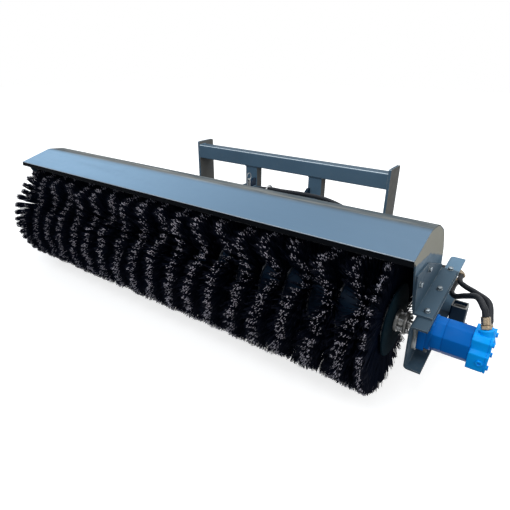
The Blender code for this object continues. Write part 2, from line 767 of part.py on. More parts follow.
def hood_brackets():
    """Bent plates that hold the hood's ends on the arms' top flanges, with their bolts."""
    start = SIDE_TOE_Y - 0.010
    end = start + BRACKET_LENGTH

    def one(side, word):
        upright = [(start, bracket_rise(start)), (end, bracket_rise(end)),
                   (end, bracket_rise(end) + BRACKET_TAIL), BRACKET_TOP, BRACKET_PEAK]
        leaf = extruded("hood_bracket_" + word, [upright], BRACKET_THICK, PAINT,
                        along_x(span(side, LEAF_FACE, BRACKET_THICK), AXIS_Y, AXIS_Z))
        flat = [(start, bracket_rise(start)), (end, bracket_rise(end)),
                (end, bracket_rise(end) + BRACKET_THICK), (start, bracket_rise(start) + BRACKET_THICK)]
        shelf = extruded("shelf", [flat], BRACKET_WIDTH, None,
                         along_x(span(side, LEAF_FACE, BRACKET_WIDTH), AXIS_Y, AXIS_Z))
        leaf = combine(leaf, shelf, "UNION")
        tilt = Matrix.Rotation(ARM_SLOPE, 4, "X")
        seat = LEAF_FACE + BRACKET_THICK + GAP
        for i, y in enumerate(TOP_BOLTS, 1):
            x = side * (ARM_INNER + ARM_FLANGE / 2 - 0.001)
            top = bracket_rise(y) + BRACKET_THICK
            point = near_axis(x, y, top)
            normal = tilt @ Vector((0, 0, 1))
            leaf = place_bolt(leaf, side, "bracket_bolt_top_%d" % i,
                              at(*(Vector(point) + normal * GAP)) @ tilt)
        for i, (y, z) in enumerate(SIDE_BOLTS, 1):
            point = near_axis(side * seat, y, z)
            leaf = place_bolt(leaf, side, "bracket_bolt_side_%d" % i,
                              aimed(Vector(point), (side, 0, 0)))

    both_sides(one)


def bristle_strand(turn, middle):
    """One tapered strand as a cone of few sides, from the core out to the brush radius."""
    x, length = middle
    low = CORE_RADIUS - STRAND_BITE
    shape = bmesh.new()
    bmesh.ops.create_cone(shape, cap_ends=True, segments=STRAND_SIDES, radius1=STRAND_ROOT,
                          radius2=STRAND_TIP, depth=length - low)
    out = Matrix.Rotation(turn, 4, "X") @ at(0, 0, (length + low) / 2)
    bmesh.ops.transform(shape, matrix=at(x, 0, 0) @ out, verts=shape.verts)
    mesh = bpy.data.meshes.new("strand")
    shape.to_mesh(mesh)
    shape.free()
    return mesh


def brush():
    """Core tube with wavy rings of bristles, a flat ring and a retaining disc on each end."""
    place = near_axis(0.0)
    core = bored("brush_core", CORE_RADIUS, CORE_RADIUS - CORE_WALL, -BRUSH_HALF, BRUSH_HALF, BRISTLE,
                 aimed(place, (1, 0, 0)), 36)
    end = BRUSH_HALF - END_WAFER
    last = end - END_WAFER_GAP - WAVE_HEIGHT
    places = [-end, *[last * (2 * i / (WAFERS - 1) - 1) for i in range(WAFERS)], end]
    every = bmesh.new()
    for wafer, middle in enumerate(places):
        wave = 0.0 if abs(middle) == end else WAVE_HEIGHT
        for k in range(STRANDS_PER_WAFER):
            turn = 2 * math.pi * (k + 0.5 * (wafer % 2)) / STRANDS_PER_WAFER
            x = middle + wave * math.sin(WAVES * turn + 1.3 * wafer)
            mesh = bristle_strand(turn, (x, BRUSH_RADIUS))
            every.from_mesh(mesh)
            bpy.data.meshes.remove(mesh)
    mesh = bpy.data.meshes.new("bristles")
    every.to_mesh(mesh)
    every.free()
    bristles = add_object("bristles", mesh, None, at(*place))
    combine(core, bristles, "UNION")

    def disc_end(side, word):
        seat = BRUSH_HALF + GAP
        disc = [(SHAFT / 2 + GAP, DISC_THICK), (DISC_RADIUS - 0.002, DISC_THICK),
                (DISC_RADIUS, DISC_THICK - 0.002), (DISC_RADIUS, 0.0), (SHAFT / 2 + GAP, 0.0)]
        turned("brush_disc_" + word, disc, DARK_PAINT, aimed(near_axis(side * seat), (side, 0, 0)),
               32, closed=True)

    both_sides(disc_end)


def coupling():
    """Two bolted flanges between the brush disc and the motor shaft."""
    first = BRUSH_HALF + GAP + DISC_THICK + GAP
    second = first + COUPLING_THICK + COUPLING_GAP
    bore = SHAFT / 2 + GAP
    ring = [(bore, COUPLING_THICK), (COUPLING_RADIUS - 0.001, COUPLING_THICK),
            (COUPLING_RADIUS, COUPLING_THICK - 0.001), (COUPLING_RADIUS, 0.0), (bore, 0.0)]
    turned("coupling_brush_half", ring, STEEL, aimed(near_axis(first), (1, 0, 0)), 24, closed=True)
    hub = [(bore, COUPLING_THICK), (COUPLING_RADIUS, COUPLING_THICK), (COUPLING_RADIUS, 0.0),
           (bore + 0.008, 0.0), (bore + 0.008, GAP - COUPLING_GAP), (bore, GAP - COUPLING_GAP)]
    turned("coupling_motor_half", hub, STEEL, aimed(near_axis(second), (1, 0, 0)), 24, closed=True)
    inner = BRUSH_HALF - SHAFT_SEAT
    rod("motor_shaft", SHAFT / 2, inner, FLANGE_FACE - 0.002, STEEL, aimed(near_axis(0), (1, 0, 0)), 20,
        0.0015)
    outer = ARM_INNER + BEARING_DEPTH + 0.010
    half = SHAFT / 2
    collar = COUPLING_RADIUS
    shaft = [(0, outer), (half - 0.0015, outer), (half, outer - 0.0015), (half, first + COLLAR),
             (collar, first + COLLAR), (collar, first), (half, first), (half, inner + 0.0015),
             (half - 0.0015, inner), (0, inner)]
    turned("stub_shaft_left", shaft, STEEL, aimed(near_axis(0), (-1, 0, 0)), 24)


def motor():
    """Wheel type hydraulic motor on the outer face of the right arm."""
    square = rectangle(MOUNT_SIZE, MOUNT_SIZE, 0.012)
    spread = MOTOR_BOLTS / 2
    corners = [(a * spread, b * spread) for a in (-1, 1) for b in (-1, 1)]
    lift = -0.004
    holes = [circle(PILOT / 2 + GAP, 32, (0, -lift))]
    extruded("motor_mount_plate", [square, *holes], MOUNT_PLATE, STEEL, on_arm(MOUNT_FACE, lift))

    flange = extruded("motor_body", [rectangle(MOTOR_FLANGE, MOTOR_FLANGE, 0.014)],
                      MOTOR_FLANGE_THICK, BLUE, on_arm(FLANGE_FACE))
    flange = drill(flange, near_axis(FLANGE_FACE), (1, 0, 0), SHAFT / 2 + RUNNING_GAP, 0.030, 24)
    reach = MOTOR_BODY
    waist = MOTOR_RADIUS - 0.004
    barrel = [(0, reach), (MOTOR_RADIUS, reach), (MOTOR_RADIUS, reach * 0.62),
              (waist, reach * 0.60), (waist, reach * 0.30), (MOTOR_RADIUS, reach * 0.27),
              (MOTOR_RADIUS, 0.004), (MOTOR_RADIUS - 0.004, -0.004), (0, -0.004)]
    body = turned("barrel", barrel, None, aimed(near_axis(BODY_FACE), (1, 0, 0)), 32)
    flange = combine(flange, body, "UNION")
    for y, z in corners:
        head = extruded("head", [hex_outline(0.014)], 0.009, None, on_arm(BODY_FACE - 0.001) @ at(y, z))
        flange = combine(flange, head, "UNION")
    smooth(flange)

    cap = extruded("motor_end_cap", [rectangle(MOTOR_CAP_SIZE, MOTOR_CAP_SIZE, 0.022, 4)], MOTOR_CAP,
                   BLUE, along_x(CAP_FACE, AXIS_Y, AXIS_Z))
    for point, direction in port_places():
        seat = Vector(point)
        out = Vector(direction).normalized()
        boss = rod("boss", PORT_BOSS / 2, -0.040, 0.0, None, aimed(seat, out), 24, 0.002)
        cap = combine(cap, boss, "UNION")
    for y, z in corners:
        head = extruded("head", [hex_outline(0.013)], 0.007, None,
                        along_x(CAP_FACE + MOTOR_CAP - 0.001, AXIS_Y + y * 0.85, AXIS_Z + z * 0.85))
        cap = combine(cap, head, "UNION")
    plug = [(0, 0.003), (0.0075, 0.003), (0.0085, 0.002), (0.0085, -0.002), (0, -0.002)]
    plug_place = near_axis(CAP_FACE + MOTOR_CAP * 0.62, -MOTOR_CAP_SIZE / 2, -0.018)
    cap = combine(cap, turned("plug", plug, None, aimed(plug_place, (0, -1, 0)), 20), "UNION")
    smooth(cap)
    for (point, direction), word in zip(port_places(), ("top", "rear")):
        fitting("motor_fitting_" + word, point, direction)


def port_places():
    """Face centre and outward direction of each port on the end cap."""
    middle = CAP_FACE + MOTOR_CAP / 2
    half = MOTOR_CAP_SIZE / 2
    return ((near_axis(middle, 0.004, half + 0.010), (-0.30, 0.25, 0.92)),
            (near_axis(middle, half + 0.010, 0.012), (0.0, 0.94, 0.34)))


def fitting(name, point, direction):
    """Hose end: hex nut and ferrule, seated on a port face."""
    across = FITTING_HEX
    place = aimed(Vector(point) + Vector(direction).normalized() * GAP, direction)
    ferrule = [(0, FITTING_LENGTH), (HOSE / 2 + 0.0035, FITTING_LENGTH), (HOSE / 2 + 0.0035, 0.012),
               (HOSE / 2, 0.010), (HOSE / 2, 0.0), (0, 0.0)]
    made = turned(name, ferrule, STEEL, place, 16)
    nut = extruded("nut", [hex_outline(across)], 0.012, None, place @ at(0, 0, 0.001))
    smooth(combine(made, nut, "UNION"))


def bearing():
    """Four bolt flange bearing on the outer face of the left arm."""
    face = -WEB_OUTER - GAP
    spread = BEARING_FLANGE / 2 - 0.014
    place = aimed(near_axis(face), (-1, 0, 0))
    flange = extruded("bearing_housing_left", [rectangle(BEARING_FLANGE, BEARING_FLANGE, 0.014)],
                      BEARING_FLANGE_THICK, DARK_PAINT, on_arm(face - BEARING_FLANGE_THICK))
    hub = [(0, BEARING_DEPTH - 0.004), (BEARING_HUB / 2 - 0.006, BEARING_DEPTH - 0.004),
           (BEARING_HUB / 2, BEARING_DEPTH - 0.012), (BEARING_HUB / 2 + 0.004, 0.001), (0, 0.001)]
    flange = combine(flange, turned("hub", hub, None, place, 24), "UNION")
    flange = drill(flange, near_axis(face), (1, 0, 0), SHAFT / 2 + RUNNING_GAP, 0.2, 20)
    for a in (-1, 1):
        for b in (-1, 1):
            head = extruded("head", [hex_outline(0.017)], 0.009, None,
                            on_arm(face - BEARING_FLANGE_THICK - 0.008) @ at(a * spread, b * spread))
            flange = combine(flange, head, "UNION")
    smooth(flange)


def stands():
    """Parking stand on each arm: receiver, sliding leg with its foot, and the hitch pin."""
    bottom = STAND_TOP - STAND_LENGTH

    def one(side, word):
        x = side * STAND_X
        y = AXIS_Y + STAND_Y
        receiver = square_tube("stand_receiver_" + word, STAND_TUBE, STAND_TUBE, STAND_WALL,
                               STAND_LENGTH, DARK_PAINT, at(x, y, bottom), 0.005)
        leg_low = STAND_TOP - 0.012 - LEG_LENGTH
        leg = square_tube("stand_leg_" + word, LEG, LEG, LEG_WALL, LEG_LENGTH, STEEL, at(x, y, leg_low),
                          0.003)
        foot = extruded("foot", [rectangle(FOOT, FOOT, 0.008)], FOOT_THICK, None,
                        at(x, y, leg_low - FOOT_THICK + 0.001))
        combine(leg, foot, "UNION")
        face = y + STAND_TUBE / 2
        height = STAND_TOP - SCREW_DROP
        rearward = aimed((x, face, height), (0, 1, 0))
        nut = extruded("nut", [hex_outline(SCREW_NUT)], 0.010, None, rearward @ at(0, 0, -0.001))
        receiver = combine(receiver, nut, "UNION")
        drill(receiver, (x, face, height), (0, 1, 0), SCREW / 2 + GAP, 0.030, 16)
        screw = rod("stand_screw_" + word, SCREW / 2, LEG / 2 + GAP, SCREW_END, STEEL,
                    aimed((x, y, height), (0, 1, 0)), 16, 0.001)
        bar = rod("bar", 0.004, -SCREW_BAR / 2, SCREW_BAR / 2, None,
                  aimed((x, y + SCREW_END - 0.007, height), (1, 0, 0)), 12, 0.001)
        smooth(combine(screw, bar, "UNION"))

    both_sides(one)


def rear_ends():
    """Where the motor hoses meet their elbows behind the right arm, from the brush axis."""
    return {word: (ARM_INNER + x, y, z)
            for word, (x, y, z) in (("top", REAR_END_TOP), ("rear", REAR_END_REAR))}


def elbow_exit(word):
    x, y, z = rear_ends()[word]
    return x - ELBOW_RISE - 0.010, y + ELBOW_RISE + GAP, z


def motor_hose_routes():
    """Centre lines from the motor's fittings to the elbows."""
    routes = {}
    guides = {"top": MOTOR_ROUTE_TOP, "rear": MOTOR_ROUTE_REAR}
    for word, (face, direction) in zip(("top", "rear"), port_places()):
        out = Vector(direction).normalized()
        start = Vector(face) + out * (FITTING_LENGTH + 2 * GAP)
        middle = [start + out * HOSE] + [near_axis(ARM_INNER + x, y, z) for x, y, z in guides[word]]
        end = Vector(near_axis(*rear_ends()[word]))
        run = smooth_route(middle, 2 * HOSE)
        routes["motor_hose_" + word] = [tuple(start), *run, tuple(end)]
    return routes


def supply_hose_routes():
    """Centre lines from the elbows through the guide eye to the quick couplers."""
    guides = {"top": (SUPPLY_ROUTE_TOP, TAIL_ROUTE_TOP, COUPLER_LANES[1]),
              "rear": (SUPPLY_ROUTE_REAR, TAIL_ROUTE_REAR, COUPLER_LANES[0])}
    routes = {}
    eye = GUIDE_EYE[0]
    height = CROSS_LEVEL + TUBE / 2 + COUPLER / 2 + GAP
    for word, (supply, tail, lane) in guides.items():
        x, y, z = elbow_exit(word)
        start = near_axis(x - 2 * GAP, y, z)
        lead = near_axis(x - HOSE, y, z)
        end = near_axis(COUPLER_X + 2 * GAP, lane, height)
        last = near_axis(COUPLER_X + 1.5 * HOSE, lane, height)
        middle = [lead, *[near_axis(eye + share * (ARM_INNER - eye), back, up) for share, back, up in supply],
                  *[near_axis(COUPLER_X + along, back, up) for along, back, up in tail], last]
        routes["supply_hose_" + word] = [start, *smooth_route(middle, 3 * HOSE), end]
    return routes


def elbows():
    """Steel elbows that turn the hoses round the end of the cross tube."""
    for word, (x, y, z) in rear_ends().items():
        start = y + 2 * GAP
        points = [(x, start, z), (x, start + 0.010, z)]
        radius = ELBOW_RISE - 0.010
        for k in range(1, 6):
            turn = math.radians(90) * k / 6
            points.append((x - radius * (1 - math.cos(turn)), start + 0.010 + radius * math.sin(turn), z))
        points.append((x - radius, y + ELBOW_RISE + GAP, z))
        points.append((x - ELBOW_RISE - 0.010, y + ELBOW_RISE + GAP, z))
        bend = tube_along("elbow_" + word, [near_axis(*point) for point in points], HOSE / 2, STEEL)
        front = extruded("nut", [hex_outline(FITTING_HEX * 0.9)], 0.009, None,
                         aimed(near_axis(x, start, z), (0, 1, 0)))
        bend = combine(bend, front, "UNION")
        smooth(bend)


def hose_guide():
    """Wire eye on the cross tube that the two supply hoses pass through."""
    middle = near_axis(*GUIDE_EYE)
    bpy.ops.mesh.primitive_torus_add(major_radius=GUIDE_RING, minor_radius=GUIDE_WIRE,
                                     major_segments=20, minor_segments=8)
    made = bpy.context.active_object
    made.name = "hose_guide"
    made.matrix_world = aimed(middle, (1, 0, 0))
    for group in list(made.users_collection):
        group.objects.unlink(made)
    PARTS.objects.link(made)
    made.data.materials.append(material("hose_guide", STEEL))
    top = CROSS_LEVEL + TUBE / 2 + GAP
    foot_y = CROSS_REAR - 0.016
    x, y, z = GUIDE_EYE
    points = [near_axis(x, foot_y, top), near_axis(x, foot_y, top + 0.030),
              near_axis(x, foot_y + 0.010, top + 0.052), near_axis(x, y - 0.032, z - 0.0435),
              near_axis(x, y - 0.012, z - GUIDE_RING)]
    stem = tube_along("stem", points, 0.005)
    smooth(combine(made, stem, "UNION"))


def couplers():
    """Quick couplers lying on the cross tube, with their dust caps."""
    height = CROSS_LEVEL + TUBE / 2 + COUPLER / 2 + GAP
    radius = COUPLER / 2
    for lane, word in zip(COUPLER_LANES, ("rear", "top")):
        length = COUPLER_LENGTH
        profile = [(0, length), (radius - 0.002, length), (radius, length - 0.002),
                   (radius, length - 0.022), (radius - 0.003, length - 0.024),
                   (radius - 0.003, 0.040), (radius, 0.038), (radius, 0.014), (radius - 0.004, 0.010),
                   (radius - 0.004, 0.0), (0, 0.0)]
        turned("quick_coupler_" + word, profile, STEEL,
               aimed(near_axis(COUPLER_X, lane, height), (-1, 0, 0)), 16)


def hoses():
    for routes in (motor_hose_routes(), supply_hose_routes()):
        for name, points in routes.items():
            tube_along(name, points, HOSE / 2, RUBBER)


for stale in list(bpy.data.objects):
    bpy.data.objects.remove(stale)

PARTS = collection("sweeper_broom")

hitch_frame()
pivot()
turntable()
lock_ring(lock())
lug_gussets()
broom_frame()
arms()
hood()
hood_brackets()
brush()
coupling()
motor()
bearing()
stands()
elbows()
hoses()
hose_guide()
couplers()
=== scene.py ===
"""Finishes, bristles, hoses, welds and studio for an angle sweeper broom.

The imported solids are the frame, and every piece made here rides on one of its bodies.
X runs along the brush with the motor at +X, the loader is at +Y, Z is up.
"""
import math

import bmesh
import bpy
import numpy as np
from mathutils import Matrix, Vector


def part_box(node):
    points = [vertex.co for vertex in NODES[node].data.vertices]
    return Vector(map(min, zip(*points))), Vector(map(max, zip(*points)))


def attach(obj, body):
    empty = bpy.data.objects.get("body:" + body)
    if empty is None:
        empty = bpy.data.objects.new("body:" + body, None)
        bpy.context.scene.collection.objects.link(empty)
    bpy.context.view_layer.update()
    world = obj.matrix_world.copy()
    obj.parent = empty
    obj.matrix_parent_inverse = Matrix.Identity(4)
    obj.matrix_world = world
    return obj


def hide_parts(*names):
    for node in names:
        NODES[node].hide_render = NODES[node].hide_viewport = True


bl_info = {
    "name": "Angle Sweeper Broom",
    "version": (1, 0, 0),
    "blender": (4, 5, 0),
    "location": "View3D > Sidebar > Sweeper",
    "description": "Dresses the packed angle sweeper with its bristles, hoses and finishes",
    "category": "Object",
}

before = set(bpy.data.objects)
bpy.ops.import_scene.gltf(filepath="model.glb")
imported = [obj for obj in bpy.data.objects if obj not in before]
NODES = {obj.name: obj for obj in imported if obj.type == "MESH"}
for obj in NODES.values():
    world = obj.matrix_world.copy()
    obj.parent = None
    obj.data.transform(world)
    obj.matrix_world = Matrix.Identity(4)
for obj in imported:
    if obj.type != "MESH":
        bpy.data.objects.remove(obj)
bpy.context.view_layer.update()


def middle_of(node):
    """Middle of a node's box at rest."""
    low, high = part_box(node)
    return (low + high) / 2


AXIS = middle_of("brush_disc_right")
AXIS_Y, AXIS_Z = AXIS.y, AXIS.z
BRUSH_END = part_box("brush_disc_right")[0].x
CAP_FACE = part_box("motor_end_cap")[0].x
ARM_SLOPE = math.radians(6.5)

# From the brush axis: where each motor hose meets its elbow, how far the elbow then reaches,
# and where the supply hoses end in their couplers. GAP is left between a hose and its fitting.
HOSE_ENDS = {"top": (0.974, 0.370, -0.006), "rear": (0.986, 0.372, 0.024)}
ELBOW_ALONG, ELBOW_BACK = 0.046, 0.0363
COUPLER_X, COUPLER_Z = -0.215, 0.0653
COUPLER_LANES = {"top": 0.293, "rear": 0.327}
GAP = 0.0006

# Thickness of the bearing's square plate
BEARING_PLATE = 0.0118

# How often the cloth wrap marks repeat on a hose
WRAPS_PER_METRE, WRAPS_ROUND = 60, 6


def tint(name, what, default):
    """A colour property in linear values."""
    return bpy.props.FloatVectorProperty(name=name, description=what, default=default,
                                         subtype="COLOR", size=3, min=0.0, max=1.0)


def length(name, what, default):
    """A length property in metres."""
    return bpy.props.FloatProperty(name=name, description=what, default=default,
                                   unit="LENGTH", precision=4)


def number(name, what, default):
    """A whole number property."""
    return bpy.props.IntProperty(name=name, description=what, default=default)


def degrees(name, what, default):
    """An angle property, from its degrees."""
    return bpy.props.FloatProperty(name=name, description=what, default=math.radians(default),
                                   subtype="ANGLE")


def watts(name, what, default):
    """A lamp's power."""
    return bpy.props.FloatProperty(name=name, description=what, default=default, unit="POWER")


class BrushLook(bpy.types.PropertyGroup):
    """Sizes and colours of the wavy bristle wafers."""
    wafers: number("Wafers", "Wavy bristle rings along the core", 18)
    bristles: number("Bristles", "Bristles in one wafer before doubling", 12)
    doublings: number("Doublings", "How often that number is doubled", 8)
    pieces: number("Pieces", "Pieces that share the wafers", 5)
    tufts: number("Tufts", "Tufts round a wavy wafer", 62)
    flat_tufts: number("Flat tufts", "Tufts round the flat wafer at each end", 44)
    width: length("Bristle width", "Across one bristle", 0.0022)
    root: length("Root radius", "Where the bristles leave their steel channel", 0.088)
    clearance: length("Clearance", "From the longest tips down to the ground", 0.0004)
    wave: length("Wave", "How far a wafer swings to each side", 0.042)
    waves: number("Waves", "Full waves round one wafer", 4)
    spread: length("Spread", "Half the width of a wavy wafer at its tips", 0.054)
    flat_spread: length("Flat spread", "Half the width of a flat wafer at its tips", 0.022)
    valley: length("Valley", "How much shorter the outermost bristles of a wafer are", 0.017)
    uneven: length("Uneven", "How much shorter a bristle may be", 0.010)
    tuft_uneven: length("Uneven tufts", "How much shorter a whole tuft may be", 0.011)
    tuft_round: length("Round tufts", "How much shorter the outer bristles of a tuft are", 0.008)
    colour: tint("Bristle", "Black plastic", (0.0003, 0.0015, 0.0058))
    # The cut tips' grey is partly their own and partly a painted glint.
    tip: tint("Cut tip", "Grey cut ends", (0.62, 0.59, 0.67))


class PaintLook(bpy.types.PropertyGroup):
    """Colours of the painted sheet and tube."""
    slate: tint("Slate", "Enamel of the hood and frames", (0.088, 0.152, 0.216))
    # Painted sky light and sheen: the front slope is paler than the slate, paler still to its far
    # end.
    front: tint("Hood front", "Enamel of the hood's front slope", (0.108, 0.175, 0.252))
    sky_sheen: tint("Hood haze", "Paler enamel towards the front slope's far end", (0.270, 0.430, 0.600))
    crown: tint("Hood crown", "Dusty enamel on top of the hood", (0.062, 0.078, 0.090))
    # Painted shadow: a black band along the hood's front edge, where shade falls under it.
    strip: tint("Edge strip", "Black strip along the hood's front edge", (0.0012, 0.0018, 0.0030))
    # Painted sunlight: a pale colour for sun on the hood's upper end plates.
    painted_sunlight: tint("Sand", "Fine sand dried on the hood's ends", (0.460, 0.440, 0.370))
    dark: tint("Dark", "Enamel of the small brackets and stands", (0.0040, 0.0170, 0.0380))
    blue: tint("Blue", "Enamel of the motor", (0.0, 0.112, 0.430))
    # Painted light: the port block's paler blue is the motor's own blue where light falls.
    sunlit_blue: tint("Azure", "Enamel of the motor's port block", (0.0, 0.320, 0.880))
    bare: tint("Bare", "Steel where the enamel has worn off", (0.36, 0.37, 0.36))
    dust: tint("Dust", "Dry dust", (0.30, 0.27, 0.22))


class HoseLook(bpy.types.PropertyGroup):
    """Size and colours of the hoses and their ends."""
    width: length("Hose", "Across a hose", 0.018)
    rubber: tint("Rubber", "Hose cover", (0.0065, 0.0080, 0.0110))
    plating: tint("Plating", "Yellow zinc of the hose ends", (0.30, 0.245, 0.175))


class StudioLook(bpy.types.PropertyGroup):
    """The camera's place, and how strong the lamps and the sky are."""
    eye: bpy.props.FloatVectorProperty(name="Eye", description="Camera place", size=3,
                                       subtype="TRANSLATION", default=(1.1558, -1.900, 0.9722))
    azimuth: degrees("Azimuth", "From -Y towards +X", 35.133)
    elevation: degrees("Elevation", "Above the floor", 25.016)
    roll: degrees("Roll", "Turn about the view", 0.475)
    lens: bpy.props.FloatProperty(name="Lens", description="Focal length", default=29.977,
                                  unit="CAMERA")
    top: watts("Top lamp", "Power of the overhead lamp", 50.0)
    front: watts("Front lamp", "Power of the lamp before the brush", 44.0)
    side: watts("Side lamp", "Power of the lamp at the motor end", 18.0)
    sky: bpy.props.FloatProperty(name="Sky", description="Strength of the light all round",
                                 default=0.56)


# Shader maths

class Value:
    """A shader socket that takes part in Python sums."""

    def __init__(self, nodes, socket):
        self.nodes = nodes
        self.socket = socket

    def math(self, operation, first, second):
        return self.nodes.node("ShaderNodeMath", {"operation": operation}, {0: first, 1: second})

    def __add__(self, other):
        return self.math("ADD", self, other)

    def __sub__(self, other):
        return self.math("SUBTRACT", self, other)

    def __rsub__(self, other):
        return self.math("SUBTRACT", other, self)

    def __mul__(self, other):
        return self.math("MULTIPLY", self, other)

    __radd__ = __add__
    __rmul__ = __mul__

    def larger(self, other):
        return self.math("MAXIMUM", self, other)

    def between(self, low, high):
        """0 up to low, 1 from high, and a smooth step between them."""
        return self.nodes.node("ShaderNodeMapRange", {"interpolation_type": "SMOOTHSTEP"},
                               {"Value": self, "From Min": low, "From Max": high})


class Nodes:
    """A node tree, and the nodes that Python sums add to it."""

    def __init__(self, tree):
        self.tree = tree

    def node(self, kind, settings=None, values=None, out=0):
        """A new node: its settings first, then numbers or links for its sockets."""
        made = self.tree.nodes.new(kind)
        for name, setting in (settings or {}).items():
            setattr(made, name, setting)
        for name, value in (values or {}).items():
            self.feed(made.inputs[name], value)
        return Value(self, made.outputs[out])

    def feed(self, socket, value):
        if isinstance(value, Value):
            self.tree.links.new(value.socket, socket)
        elif socket.type == "RGBA" and not isinstance(value, (int, float)):
            socket.default_value = (*tuple(value)[:3], 1.0)
        else:
            socket.default_value = value

    def mix(self, first, second, share):
        """Share 0 gives the first colour, 1 the second."""
        return self.node("ShaderNodeMix", {"data_type": "RGBA"},
                         {"Factor": share, 6: first, 7: second}, out=2)

    def seen(self):
        """1 for rays from the camera or off a shiny or clear surface."""
        path = self.tree.nodes.new("ShaderNodeLightPath")
        camera, glossy, clear = (Value(self, path.outputs[name]) for name in (
            "Is Camera Ray", "Is Glossy Ray", "Is Transmission Ray"))
        return camera.larger(glossy).larger(clear)


class Finish(Nodes):
    """One material: its patterns, and the shader that they feed."""

    def __init__(self, name):
        self.material = bpy.data.materials.new(name)
        self.material.use_nodes = True
        super().__init__(self.material.node_tree)
        self.shader = self.tree.nodes["Principled BSDF"]

    def place(self):
        return self.node("ShaderNodeTexCoord", out="Object")

    def position(self, axis):
        """Object X, Y or Z as a value."""
        return self.node("ShaderNodeSeparateXYZ", None, {0: self.place()}, out=axis)

    def attribute(self, name):
        return self.node("ShaderNodeAttribute", {"attribute_name": name}, out="Fac")

    def vector(self, operation, first, second, out=0):
        return self.node("ShaderNodeVectorMath", {"operation": operation},
                         {0: first, 1: second}, out)

    def away(self, middle, weights):
        """Distance from a point, with a weight for each direction."""
        off = self.vector("MULTIPLY", self.vector("SUBTRACT", self.place(), middle), weights)
        return self.vector("LENGTH", off, (0.0, 0.0, 0.0), "Value")

    def noise(self, where, scale, detail=3.0, roughness=0.5, stretch=None):
        if stretch:
            where = self.node("ShaderNodeMapping", None, {"Vector": where, "Scale": stretch})
        return self.node("ShaderNodeTexNoise", None, {"Vector": where, "Scale": scale,
                                                      "Detail": detail, "Roughness": roughness})

    def rounded(self, radius):
        return self.node("ShaderNodeBevel", {"samples": 4}, {"Radius": radius})

    def edges(self, radius):
        """1 along sharp edges, 0 on flat faces."""
        flat = self.node("ShaderNodeNewGeometry", out="Normal")
        same = self.vector("DOT_PRODUCT", self.rounded(radius), flat, "Value")
        return (1 - same).between(0.01, 0.12)

    def bump(self, height, distance, strength=1.0, normal=None):
        values = {"Height": height, "Distance": distance, "Strength": strength}
        if normal is not None:
            values["Normal"] = normal
        return self.node("ShaderNodeBump", None, values)

    def set(self, **values):
        """Feed the shader's own sockets."""
        for name, value in values.items():
            self.feed(self.shader.inputs[name.replace("_", " ")], value)


def shade(colour, factor, lift=0.0):
    """The same colour, darker or paler."""
    return tuple(c * factor + lift for c in colour)


def enamel(name, colour, bare, dust, roughness=0.42, wear=1.0, dusty=1.0, specular=0.06,
           zones=None):
    """Sprayed enamel over steel: orange peel, light dust and bare metal on the edges.

    zones takes the finish, its colour so far and its streaks, and gives the colour with the
    zone in it, and how dull it is there.
    """
    f = Finish(name)
    where = f.place()
    cloud = f.noise(where, 2.2, 4.0)
    fine = f.noise(where, 38.0, 4.0, 0.6)
    peel = f.noise(where, 420.0, 1.0)
    streak = f.noise(where, 9.0, 5.0, 0.62, (0.16, 1.0, 1.0))
    body = f.mix(shade(colour, 0.88), shade(colour, 1.10, 0.003 * dusty),
                 cloud.between(0.30, 0.70))
    dull = 0.0
    if zones:
        body, dull = zones(f, body, streak)
    body = f.mix(body, shade(colour, 1.22, 0.01 * dusty),
                 streak.between(0.50, 0.78) * 0.35 * (1 - dull))
    low = 1 - f.position("Z").between(0.02, 0.30)
    settled = fine.between(0.48, 0.80) * (0.06 + 0.14 * low) * dusty * (1 - dull)
    body = f.mix(body, dust, settled)
    rub = f.edges(0.0022) * fine.between(0.40, 0.62) * wear
    body = f.mix(body, bare, rub * 0.75)
    knocks, patches = f.noise(where, 95.0, 2.0, 0.7), f.noise(where, 5.0)
    chips = knocks.between(0.735, 0.76) * patches.between(0.52, 0.7)
    body = f.mix(body, bare, chips * 0.7 * wear)
    gloss = roughness + 0.16 * fine.between(0.35, 0.75) + settled * 0.5 + rub * 0.1 + dull * 0.35
    normal = f.bump(peel, 0.00012, 0.5, f.rounded(0.0016))
    normal = f.bump(chips * -1.0, 0.0002, 0.6, normal)
    f.set(Base_Color=body, Roughness=gloss, Metallic=rub * 0.6, Specular_IOR_Level=specular,
          Normal=normal)


def hood_zones(paint):
    """Painted sky sheen on the blue front slope, a grey crown with pale streaks, painted shadow at
    its lip.
    """
    crease = (AXIS_Y + 0.004, AXIS_Y + 0.044)
    rear = (AXIS_Y + 0.10, AXIS_Y + 0.20)
    lip = (AXIS_Y - 0.1186, AXIS_Y - 0.1180)
    pale = (0.27, 0.27, 0.25)

    def zones(f, body, streak):
        back = f.position("Y")
        fine = f.noise(f.place(), 46.0, 4.0, 0.6, (0.05, 1.0, 1.0))
        streaks = streak.between(0.46, 0.64) * 0.4 + fine.between(0.48, 0.66) * 0.5
        crown = f.mix(f.mix(tuple(paint.crown), pale, streaks), body, back.between(*rear) * 0.8)
        # Painted sheen: paler towards the slope's far end.
        slope = f.mix(tuple(paint.sky_sheen), tuple(paint.front), f.position("X").between(-1.1, 0.7))
        slope = f.mix(slope, shade(paint.front, 1.25), streak.between(0.4, 0.7) * 0.2)
        top = back.between(*crease)
        # Painted shadow: the lip is black where shade falls below the front edge.
        strip = 1 - back.between(*lip)
        return f.mix(f.mix(slope, crown, top), tuple(paint.strip), strip), top.larger(strip)
    return zones


